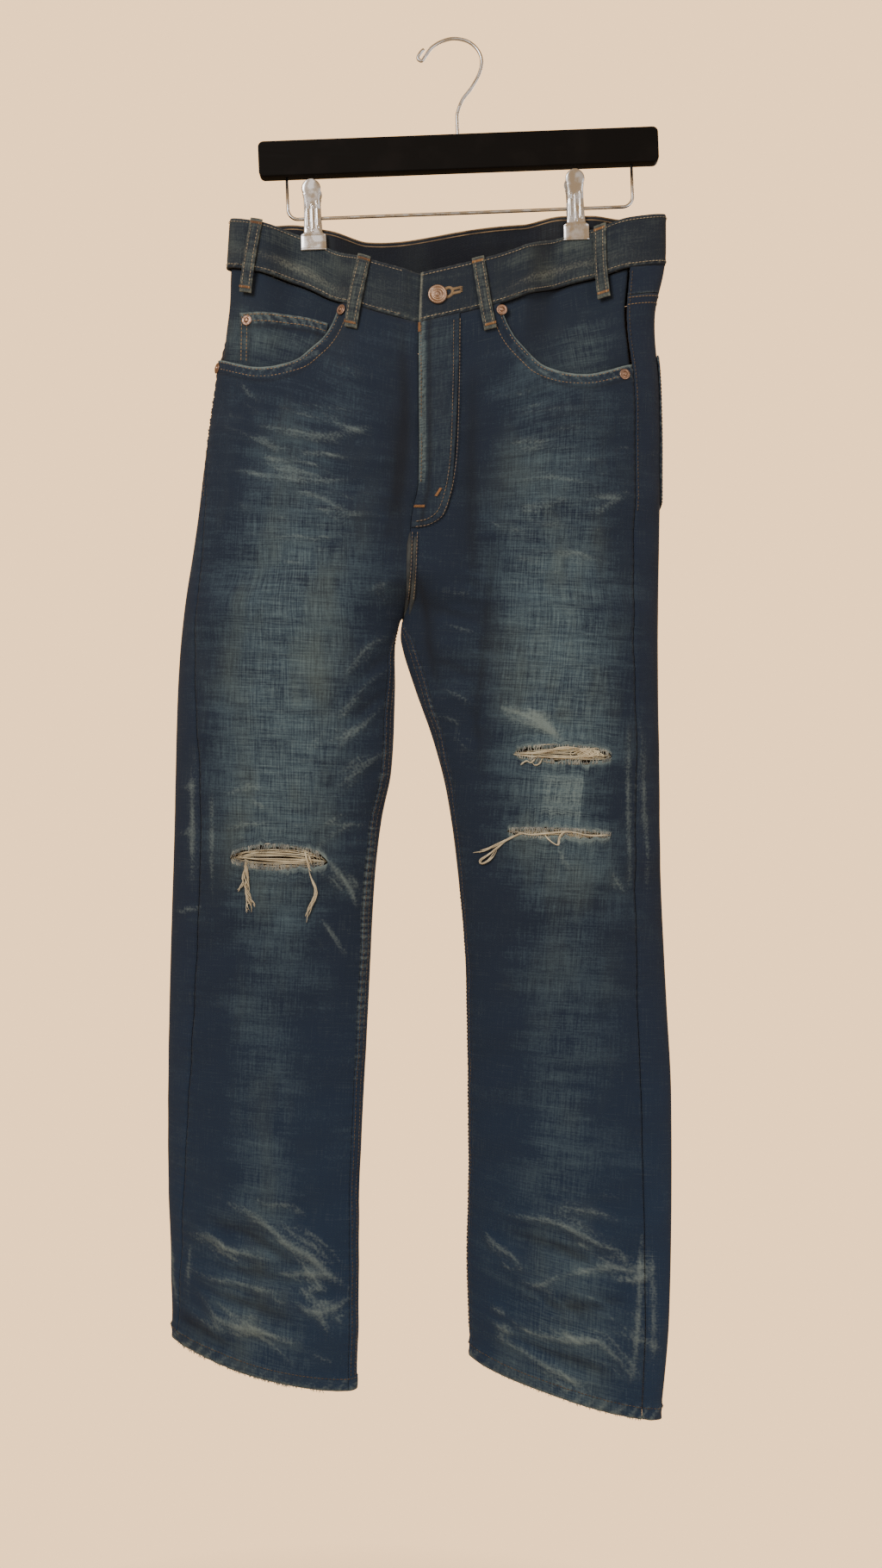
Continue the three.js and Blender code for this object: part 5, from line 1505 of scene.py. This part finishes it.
def add_tacks():
    courses = []
    for _, leg, front, top_reach, bottom_reach in LOOPS:
        for distance, drop in ((top_reach, 2.5), (bottom_reach, 62.5)):
            share = (drop - LOOP["top"]) / (LOOP["bottom"] - LOOP["top"])
            lift = LOOP["lift"] + LOOP["bulge"] * math.sin(math.pi * share) ** 0.8 + 0.1
            courses += tack(leg, front, (distance - 4.6, drop), (distance + 4.6, drop), 2.6, lift)
    for leg in LEGS:
        turns, drops, _, _, _ = back_pocket_grid(leg, 30, 30)
        for column in (slice(0, 4), slice(-4, None)):
            for row in np.linspace(0, 7, 12):
                turn, drop = turns[column, 0], drops[column, 0] + 1 + row
                courses.append(on_panel(leg, turn, drop, POCKET_LIFT + TRIM + 0.5))
    courses += tack(LEFT, True, (0.8, 258), (9.6, 258), 2.4, SEAM_GAP + TRIM + 0.5)
    courses += tack(LEFT, True, (20.5, 237), (17.6, 246), 2.2, SEAM_GAP + TRIM + 0.5)
    courses += tack(LEFT, True, (0.8, 46), (0.8, 54), 3.0, SEAM_GAP + TRIM + 1.0)
    return stitch_mesh("bar_tacks", courses, orange_thread, radius=0.3, pitch=9, length=2.6)


def add_buttonhole():
    """A keyhole of tight stitches round the eye and slit that the button passes through."""
    radius, tail = 4.2, 36
    button, level = BUTTON["reach"], BUTTON["drop"]
    angles = np.linspace(math.radians(32), math.radians(328), 34) + math.pi
    eye = np.column_stack([button + 9 + radius * np.cos(angles), level + radius * np.sin(angles)])
    upper = np.column_stack([np.linspace(button + 12, tail, 14), np.full(14, level - 1.9)])
    lower = upper + [0, 3.8]
    end = np.column_stack([np.full(5, tail + 0.6), level + np.linspace(-2.2, 2.2, 5)])
    courses = []
    for line in (eye, upper, lower, end):
        for place, ahead in zip(line, unit(np.gradient(line, axis=0))):
            across = np.array([-ahead[1], ahead[0]])
            distance, drop = (place + across * np.linspace(-1.5, 1.5, 4)[:, None]).T
            lift = np.full(4, BAND_PROUD + 0.55)
            courses.append(cloth(LEFT, front_turn(LEFT, distance, drop), drop, lift))
    return stitch_mesh("buttonhole_stitches", courses, gold_thread, radius=0.42, pitch=6, length=2.9)


stitching = add_stitches()
crotch_seam = add_crotch_seam()
binding = add_binding()
tacks = add_tacks()
buttonhole = add_buttonhole()
for piece in (*stitching.values(), crotch_seam, binding, tacks, buttonhole):
    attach(piece, "root")

# ---- Torn threads ----
# Where the knees have torn, the undyed cross threads still span the holes, bowed and tangled, and
# some hang out in bundles. Short broken ends fringe the edges.
white_thread = thread_material("white_thread", (0.72, 0.70, 0.54), (0.42, 0.37, 0.26))
blue_thread = thread_material("blue_thread", (0.46, 0.49, 0.45), (0.09, 0.12, 0.15))


def over_front(leg, line, lift):
    """Points that stand off the front at (x, drop) places."""
    x, drop = np.asarray(line, float).T
    points, _ = cloth(leg, turn_at(leg, x, drop, True), drop, np.broadcast_to(lift, drop.shape))
    return points


def rip_ends(leg, rip):
    """Where a rip begins and ends on the flat outline."""
    shares = np.array([rip["from"], rip["to"]])
    turns = lerp(outseam(leg, rip["drop"], SEAM_GAP), front_inner(leg, np.array(rip["drop"])), shares)
    x = flat_place(leg, turns, np.full(2, rip["drop"], float))[0]
    return sorted(x)


def spanning(leg, rip, count, steps=26):
    """Threads that cross a rip from end to end, each bowed its own way."""
    low, high = rip_ends(leg, rip)
    share = evenly(steps)
    paths = []
    for level in np.linspace(-0.48, 0.48, count) + rng.normal(0, 0.04, count):
        ends = np.array([low + rng.uniform(-1, 10), high - rng.uniform(-1, 10)])
        bow = rng.normal(0.05, 0.14)
        lens = np.sqrt(np.clip(1 - (2 * share - 1) ** 2, 0, 1))
        wander = 0.5 * np.sin(share * rng.uniform(4, 9) + rng.uniform(0, 6))
        drop = rip["drop"] - rip["bow"] * lens + lens * rip["open"] * (level + bow * lens) + wander
        x = lerp(ends[0], ends[1], share)
        lift = -1.2 + lens * rng.uniform(-0.4, 1.6) + 0.3 * np.sin(share * 11 + rng.uniform(0, 6))
        paths.append(over_front(leg, np.column_stack([x, drop]), lift))
    return paths


def bundle(leg, route, count, spread, steps=26, lift=1.4):
    """Threads that hang together along a route of (x, drop) points and part a little."""
    line, _ = smooth_line(route, 1.0)
    at = np.linspace(0, len(line) - 1, steps)
    base = np.column_stack([np.interp(at, np.arange(len(line)), line[:, k]) for k in (0, 1)])
    share = evenly(steps)
    paths = []
    for _ in range(count):
        phase, turns = rng.uniform(0, math.tau), rng.uniform(1.2, 3.0)
        apart = spread * (0.5 + 0.5 * share) * np.sin(math.tau * turns * share + phase)
        end = rng.uniform(0.82, 1.0)
        wide = np.column_stack([base[:, 0] + apart, base[:, 1] + 0.4 * apart])
        cut = [np.interp(share * end, share, wide[:, k]) for k in (0, 1)]
        off = lift + 0.5 * spread * np.cos(math.tau * turns * share + phase)
        paths.append(over_front(leg, np.column_stack(cut), off * np.minimum(1, 0.2 + 5 * share)))
    return paths


def fringe(leg, rip, count, upper, steps=6):
    """Short broken ends along one edge of a rip, pointing into it."""
    low, high = rip_ends(leg, rip)
    paths = []
    for _ in range(count):
        across = rng.uniform(-0.97, 0.97)
        lens = math.sqrt(1 - across * across)
        x = (low + high) / 2 + across * (high - low) / 2
        way = -1 if upper else 1
        edge = rip["drop"] - rip["bow"] * lens + way * rip["open"] / 2 * lens
        length = rng.uniform(2.0, 7.0)
        share = evenly(steps)
        drop = edge + way * 2.5 - way * share * length
        drift = rng.uniform(-2.2, 2.2)
        lift = 1.0 + share * rng.uniform(0.2, 1.2)
        paths.append(over_front(leg, np.column_stack([x + drift * share, drop]), lift))
    return paths


# Threads that hang out of each rip, as (route of (x, drop), how many, how far they part).
RIGHT_BUNDLES = [
    ([(-154.3, 584), (-153.5, 598), (-152.4, 610), (-150.2, 622), (-150.6, 632)], 9, 2.6),
    ([(-155.0, 592), (-156.5, 600), (-157.0, 607), (-162.5, 614)], 4, 1.0),
    ([(-151.0, 618), (-147.0, 621), (-144.6, 626)], 4, 0.6),
    ([(-102.5, 576), (-99.0, 588), (-96.0, 598), (-91.8, 611), (-96.2, 624), (-100.9, 639)], 8, 1.5),
    ([(-86.6, 586), (-92.0, 591), (-96.3, 596)], 4, 1.0),
    ([(-98.5, 578), (-97.8, 586), (-97.0, 594)], 4, 1.6),
]
LEFT_UPPER_BUNDLES = [
    ([(80, 481), (100, 479.5), (125, 474), (152, 477)], 8, 2.2),
    ([(79, 482), (104, 483), (130, 482), (156, 479)], 7, 2.2),
    ([(98, 484), (93.5, 488.5), (90, 487), (84, 491)], 3, 0.5),
    ([(104, 484), (101, 489), (97, 490.5), (95, 488)], 3, 0.5),
]
LEFT_LOWER_BUNDLES = [
    ([(79, 549), (96, 552), (112, 550), (130, 548), (150, 551), (167, 549)], 16, 1.2),
    ([(93, 549.5), (84, 553), (71, 560), (60, 566), (47, 571)], 9, 1.2),
    ([(74, 559), (62, 570), (53, 577), (53.5, 580), (60, 577), (68, 566)], 7, 0.9),
    ([(108, 551), (114, 557), (120.6, 560), (122, 553), (127, 548), (133, 550)], 7, 0.8),
]


def tangle(leg, centre, size, count, steps=30):
    """Loops of thread knotted over one end of a rip."""
    share = evenly(steps)
    paths = []
    for _ in range(count):
        first, second = rng.uniform(0, math.tau, 2)
        turns = rng.uniform(0.7, 1.6)
        middle = np.array(centre) + rng.normal(0, 0.35, 2) * size
        wide = rng.uniform(0.3, 0.75) * np.array(size)
        x = middle[0] + wide[0] * np.cos(math.tau * turns * share + first)
        drop = middle[1] + wide[1] * np.sin(math.tau * turns * share * 1.3 + second)
        lift = 0.6 + 1.1 * np.sin(math.tau * share * 1.7 + first)
        paths.append(over_front(leg, np.column_stack([x, drop]), lift + 0.6))
    return paths


def hem_fray(leg, low, high, count, steps=6):
    """Broken ends that hang from the underside of a worn hem, between two places across the leg."""
    paths = []
    for _ in range(count):
        x, share = rng.uniform(low, high), evenly(steps)
        drop = leg["hem"] - 1.2 + share * rng.uniform(1.0, 4.0)
        paths.append(over_front(leg, np.column_stack([x + rng.uniform(-2.5, 2.5) * share, drop]), -0.2))
    return paths


def add_threads(name, paths, material, low=0.32, high=0.55):
    longest = max(len(path) for path in paths)
    even = []
    for path in paths:
        share = evenly(len(path))
        even.append(np.column_stack([np.interp(evenly(longest), share, path[:, k]) for k in range(3)]))
    return strands(name, even, rng.uniform(low, high, len(even)), material)


def bundles(leg, routes):
    return [path for route, count, spread in routes for path in bundle(leg, route, count, spread)]


right_rip, (upper_rip, lower_rip) = RIPS["right"][0], RIPS["left"]
right_threads = add_threads("right_knee_threads", [
    *spanning(RIGHT, right_rip, 19), *bundles(RIGHT, RIGHT_BUNDLES)], white_thread)
upper_threads = add_threads("left_thigh_threads", [
    *spanning(LEFT, upper_rip, 15), *bundles(LEFT, LEFT_UPPER_BUNDLES),
    *tangle(LEFT, (144, 478), (12, 4.5), 18)], white_thread)
lower_threads = add_threads("left_knee_threads", [
    *spanning(LEFT, lower_rip, 18), *bundles(LEFT, LEFT_LOWER_BUNDLES)], white_thread)
right_fringe = add_threads("right_knee_fringe", [
    *fringe(RIGHT, right_rip, 110, True), *fringe(RIGHT, right_rip, 240, False)], blue_thread, 0.18, 0.34)
left_fringe = add_threads("left_knee_fringe", [
    *fringe(LEFT, upper_rip, 90, True), *fringe(LEFT, upper_rip, 90, False),
    *fringe(LEFT, lower_rip, 180, True), *fringe(LEFT, lower_rip, 60, False)], blue_thread, 0.18, 0.34)
hem_ends = add_threads("hem_frays", [
    *hem_fray(RIGHT, -205, -60, 170), *hem_fray(RIGHT, -150, -90, 90), *hem_fray(LEFT, 75, 225, 130)],
    blue_thread, 0.16, 0.3)
for piece in (right_threads, upper_threads, lower_threads, right_fringe, left_fringe, hem_ends):
    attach(piece, "root")

# ---- Button and rivets ----
# A cast copper button on a shank through both layers of the waistband, and five copper rivets
# hammered through the corners of the pockets. All have dulled to brown, with bright high points.
POCKET_RIVETS = {"drop": 52, "reach": {"right": 69.5, "left": 73}}
SIDE_RIVETS = {"drop": 140, "from_seam": 8}
COIN_RIVET = {"drop": 92, "reach": 156}


def metal(name, bright, dull, roughness, patina, dents):
    """Bare metal gone dull in patches."""
    material, finish = new_material(name)
    place = finish.node("TexCoord", None, None, output="Object")
    patches = finish.noise(place, (patina, patina, patina), 4.0).between(0.42, 0.62)
    fine = finish.noise(place, (1400, 1400, 1400), 3.0)
    colour = finish.mix(bright, dull, patches * 0.4 + fine * 0.2)
    surface(finish, colour, patches * 0.25 + roughness, metallic=1.0, bump=fine, bump_depth=dents)
    return material


def turned(name, profile, leg, turn, drop, lift, material, bumps=None):
    """A round part turned from (radius, height) points, standing on the cloth."""
    sides = 64
    base, normal = cloth(leg, np.array([turn, turn]), np.array([drop, drop]), np.array([lift, lift]))
    base, normal = base[0], normal[0]
    first = unit(np.cross(normal, [0.0, 0.0, 1.0]))
    second = np.cross(normal, first)
    line, _ = smooth_line(profile, 0.25)
    angles = np.arange(sides) * math.tau / sides
    radius = np.maximum(line[:, 0], 0.001)[:, None]
    height = np.broadcast_to(line[:, 1][:, None], (len(line), sides)).copy()
    if bumps is not None:
        height += bumps(radius, angles[None, :])
    spoke = np.cos(angles)[None, :, None] * first + np.sin(angles)[None, :, None] * second
    points = base + radius[..., None] * spoke + height[..., None] * normal
    faces = [face[::-1] for face in tube_faces(1, len(line), sides)]
    return make_object(name, points.reshape(-1, 3), faces, [material])


button_metal = metal("button_copper", (0.46, 0.34, 0.26), (0.20, 0.14, 0.11), 0.36, 260, 0.12 * MM)
rivet_metal = metal("rivet_copper", (0.40, 0.275, 0.215), (0.13, 0.085, 0.065), 0.38, 420, 0.12 * MM)
BUTTON_PROFILE = [(2.4, -2.3), (2.4, -0.1), (7.4, 0.0), (8.4, 0.7), (8.55, 1.6), (8.0, 2.5), (7.2, 2.7),
                  (6.4, 2.3), (5.6, 1.75), (4.7, 1.8), (4.0, 2.35), (3.3, 2.5), (2.8, 2.15), (2.3, 2.3),
                  (1.9, 3.0), (1.2, 3.35), (0.0, 3.4)]
RIVET_PROFILE = [(0.3, 0.0), (4.5, 0.0), (4.8, 0.3), (4.6, 0.75), (3.9, 1.0), (3.2, 0.85), (2.3, 0.95),
                 (1.8, 1.5), (1.4, 2.0), (0.8, 2.15), (0.0, 2.1)]


def struck(radius, angles):
    """A ring of small raised marks round the button's face."""
    return 0.14 * np.exp(-((radius - 5.6) / 0.7) ** 2) * (0.5 + 0.5 * np.cos(22 * angles))


def add_metal_pieces():
    made = {}
    turn = float(front_turn(LEFT, BUTTON["reach"], BUTTON["drop"]))
    lift = BAND_PROUD + SEAM_GAP
    made["waist_button"] = turned("waist_button_metal", BUTTON_PROFILE, LEFT, turn, BUTTON["drop"], lift,
                                  button_metal, struck)
    lift = POCKET_LIFT + SEAM_GAP
    high, low = POCKET_RIVETS["drop"], SIDE_RIVETS["drop"]
    for leg in LEGS:
        top = front_turn(leg, POCKET_RIVETS["reach"][leg["name"]], high)
        side = outseam(leg, low, SIDE_RIVETS["from_seam"])
        for place, turn, drop in (("top", top, high), ("side", side, low)):
            node = f"rivet_pocket_{place}_{leg['name']}"
            made[node] = turned(node + "_metal", RIVET_PROFILE, leg, float(turn), drop, lift, rivet_metal)
    lift, drop = COIN_LIFT + SEAM_GAP, COIN_RIVET["drop"]
    turn = float(front_turn(RIGHT, COIN_RIVET["reach"], drop))
    made["rivet_coin_pocket"] = turned("rivet_coin_pocket_metal", RIVET_PROFILE, RIGHT, turn, drop, lift,
                                       rivet_metal)
    for node, piece in made.items():
        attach(piece, "root")
        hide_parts(node)
    return made


metal_pieces = add_metal_pieces()

# ---- Hanger ----
# A black-stained wooden bar, with a bright bent hook screwed into its top and a wire frame that
# hangs below it. The whole hanger leans on its hook, left end up.
HANGER_LEAN = math.radians(4.5)
BAR = {"length": 360, "height": 32, "thickness": 12, "top": -86.5, "corner": 5, "bevel": 1.5}
WIRE_RADIUS = 1.5
FRAME = {"half": 155.5, "level": -156, "corner": 9}
HOOK_ROUTE = [(0, -86.2), (0, -76), (0.6, -66), (5.5, -54), (14, -43.5), (21.5, -31), (24.2, -19.5),
              (21, -9.5), (12.5, -1.6), (0, 1.5), (-11, -0.6), (-20.5, -6), (-26.5, -13.5),
              (-30, -17.6), (-33.2, -15), (-31, -10.5), (-27.5, -7)]


def leaned(points):
    """From the hanger's own frame, where its bar is level."""
    x, y, z = np.moveaxis(np.asarray(points, float), -1, 0)
    cos, sin = math.cos(HANGER_LEAN), math.sin(HANGER_LEAN)
    return np.stack([x * cos - z * sin, y, x * sin + z * cos], -1)


def black_wood():
    material, finish = new_material("black_wood")
    place = finish.node("TexCoord", None, None, output="Object")
    grain = finish.noise(place, (14, 500, 420), 5.0)
    worn = finish.noise(place, (30, 30, 30), 3.0).between(0.5, 0.75)
    shown = (grain * 0.7 + worn * 0.5).between(0.3, 1.0)
    colour = finish.mix((0.0012, 0.0012, 0.0014), (0.006, 0.005, 0.005), shown)
    surface(finish, colour, grain * 0.2 + 0.6, bump=grain, bump_depth=0.12 * MM, specular=0.15)
    return material


def add_bar():
    """The bar's outline, swept round its edge from the front face to the back face."""
    half, high, low = BAR["length"] / 2, BAR["top"], BAR["top"] - BAR["height"]
    turns = np.arange(9) / 8 * math.pi / 2
    outline = []
    corners = [(half, high), (-half, high), (-half, low), (half, low)]
    for (x, z), start in zip(corners, (0, 90, 180, 270)):
        inwards = -1 if z == high else 1
        centre = np.array([x - math.copysign(BAR["corner"], x), z + inwards * BAR["corner"]])
        for turn in turns + math.radians(start):
            outline.append((centre, np.array([math.cos(turn), math.sin(turn)])))
    rings = []
    for angle in np.linspace(-90, 90, 13):
        inset = BAR["bevel"] * (1 - math.cos(math.radians(angle)))
        y = math.copysign(BAR["thickness"] / 2 - BAR["bevel"], angle)
        y += BAR["bevel"] * math.sin(math.radians(angle))
        rings.append([(c[0] + d[0] * (BAR["corner"] - inset), y, c[1] + d[1] * (BAR["corner"] - inset))
                      for c, d in outline])
    count = len(outline)
    points = leaned(np.array(rings)).reshape(-1, 3)
    faces = [face[::-1] for face in tube_faces(1, len(rings), count)]
    bar = make_object("hanger_bar_wood", points, faces, [black_wood()])
    bar.data.polygons.foreach_set("use_smooth", [True] * (len(faces) - 2) + [False, False])
    return bar


def rod(name, route, radius, material, sides=20):
    """A round wire bent in the hanger's plane through (x, z) points."""
    route = np.asarray(route, float)
    path = np.column_stack([route[:, 0], np.zeros(len(route)), route[:, 1]])
    heading = unit(np.gradient(path, axis=0))
    across = np.column_stack([heading[:, 2], np.zeros(len(path)), -heading[:, 0]])
    angles = np.arange(sides) * math.tau / sides
    ends = np.minimum(np.arange(len(path)), np.arange(len(path))[::-1])
    size = radius * np.where(ends == 0, 0.8, 1.0)[:, None, None]
    cos, sin = (wave(angles)[None, :, None] for wave in (np.cos, np.sin))
    rings = path[:, None] + size * (cos * across[:, None] + sin * np.array([0.0, 1.0, 0.0]))
    faces = [face[::-1] for face in tube_faces(1, len(path), sides)]
    return make_object(name, leaned(rings).reshape(-1, 3), faces, [material])


steel = metal("bright_steel", (0.66, 0.69, 0.73), (0.46, 0.48, 0.51), 0.22, 120, 0.02 * MM)
hook_line, _ = smooth_line(HOOK_ROUTE, 1.2)
hook = rod("hanger_hook_steel", hook_line, WIRE_RADIUS, steel)
wire_top = BAR["top"] - BAR["height"] - SEAM_GAP
half, bend = FRAME["half"], FRAME["corner"]
corners = [(side * (half - bend) + bend * math.cos(a), FRAME["level"] + bend + bend * math.sin(a))
           for side, start in ((-1, math.pi), (1, 1.5 * math.pi))
           for a in start + np.linspace(0, math.pi / 2, 10)]
route = [(-half, wire_top), *corners, (half, wire_top)]
wire = rod("hanger_wire_steel", route, WIRE_RADIUS, steel)
bar = add_bar()
for piece, node, slot in ((bar, "hanger_bar", "black_wood"), (hook, "hanger_hook", "steel"),
                          (wire, "hanger_wire", "steel")):
    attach(piece, "root")
    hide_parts(node)

# ---- Clips ----
# Each clip is two leaves pressed from bright steel and sprung together on the wire. A leaf has a
# round head to pinch, three ribs down its body and a broad flat jaw.
# A leaf from top to bottom, as (height, half width, distance from the wire).
LEAF_ROWS = [(32.5, 2.6, 9.4), (31, 5.2, 9.3), (28, 7.6, 9.1), (24, 8.6, 8.8), (19.5, 7.9, 8.2),
             (15.5, 7.2, 7.4), (7, 7.3, 5.6), (-8, 7.9, 5.3), (-13.6, 8.4, 5.0), (-16.2, 11.4, 4.8),
             (-29.5, 11.6, 4.5)]
LEAF_THICKNESS = 1.2
HEAD = {"middle": 24.2, "half_height": 8.4, "half_width": 8.6, "from": 20}
BEADS = ((-15.4, 0.5), (-28.6, 0.35))
RIBS = {"apart": 4.6, "half_width": 1.3, "top": 12.0, "bottom": -9.5, "height": 0.75, "dimple": 2.1}
SPRING = {"inner": 1.9, "outer": 3.6, "length": 11, "turns": 6}
JAW_DROP = 22


def along_wire(x):
    """Where a clip stands along the wire so that its jaws meet the waist at x."""
    return (x + (FRAME["level"] - JAW_DROP) * math.sin(HANGER_LEAN)) / math.cos(HANGER_LEAN)


def leaf(name, x, facing):
    heights, halves, offs = (np.array([row[k] for row in LEAF_ROWS]) for k in range(3))
    level = np.concatenate([np.linspace(32.5, 15.5, 34), np.linspace(15, -13, 60),
                            np.linspace(-13.3, -29.5, 30)])
    order = heights[::-1]
    half = np.interp(level, order, halves[::-1])
    head = 1 - ((level - HEAD["middle"]) / HEAD["half_height"]) ** 2
    head = np.sqrt(np.clip(head, 0, 1)) * HEAD["half_width"]
    half = np.where(level > HEAD["from"], np.maximum(head, 2.2), half)
    off = np.interp(level, order, offs[::-1])
    across = np.linspace(-1, 1, 61)
    wide = across[:, None] * half[None, :]
    height = np.broadcast_to(level[None, :], wide.shape)
    raised = np.zeros(wide.shape)
    for place, drop in ((-RIBS["apart"], 0), (0, -2.5), (RIBS["apart"], 0)):
        top, bottom = RIBS["top"] + drop, RIBS["bottom"] + drop
        over = np.clip(height, bottom, top) - height
        near = np.hypot(wide - place, over) / RIBS["half_width"]
        raised += RIBS["height"] * np.sqrt(np.clip(1 - near ** 2, 0, 1))
        for end in (top, bottom):
            raised -= 0.5 * edge_falloff(np.hypot(wide - place, height - end), 0.8)
    curl = -0.9 * np.abs(across[:, None]) ** 8
    bead = sum(rise * edge_falloff(height - place, 0.8) for place, rise in BEADS)
    outer_depth = off[None, :] + raised + curl + bead
    quads = grid_quads(*wide.shape)
    quads = quads if facing > 0 else quads[:, ::-1]
    depths = (outer_depth, off[None, :] - LEAF_THICKNESS + 0.5 * raised)
    sides = [np.stack([x + wide, facing * depth, FRAME["level"] + height], -1) for depth in depths]
    outer, inner = (leaned(side).reshape(-1, 3) for side in sides)
    return shell(name, outer, inner, quads, [steel, steel], {})


def spring(name, x):
    """A coil of wire wound round the frame's wire."""
    radius = (SPRING["outer"] - SPRING["inner"]) / 2
    turns = np.linspace(0, SPRING["turns"], SPRING["turns"] * 28)
    middle = SPRING["inner"] + radius
    span = SPRING["length"] - 2 * radius
    angles = math.tau * turns
    path = np.column_stack([x - span / 2 + span * turns / SPRING["turns"], middle * np.cos(angles),
                            FRAME["level"] + middle * np.sin(angles)])
    return strands(name, leaned(path)[None], [radius], steel, sides=10)


for name, x in CLIP_X.items():
    x = along_wire(x)
    for piece, node in ((leaf(f"clip_front_{name}_steel", x, -1), f"clip_front_leaf_{name}"),
                        (leaf(f"clip_back_{name}_steel", x, 1), f"clip_back_leaf_{name}"),
                        (spring(f"clip_spring_{name}_steel", x), f"clip_spring_{name}")):
        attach(piece, "root")
        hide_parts(node)
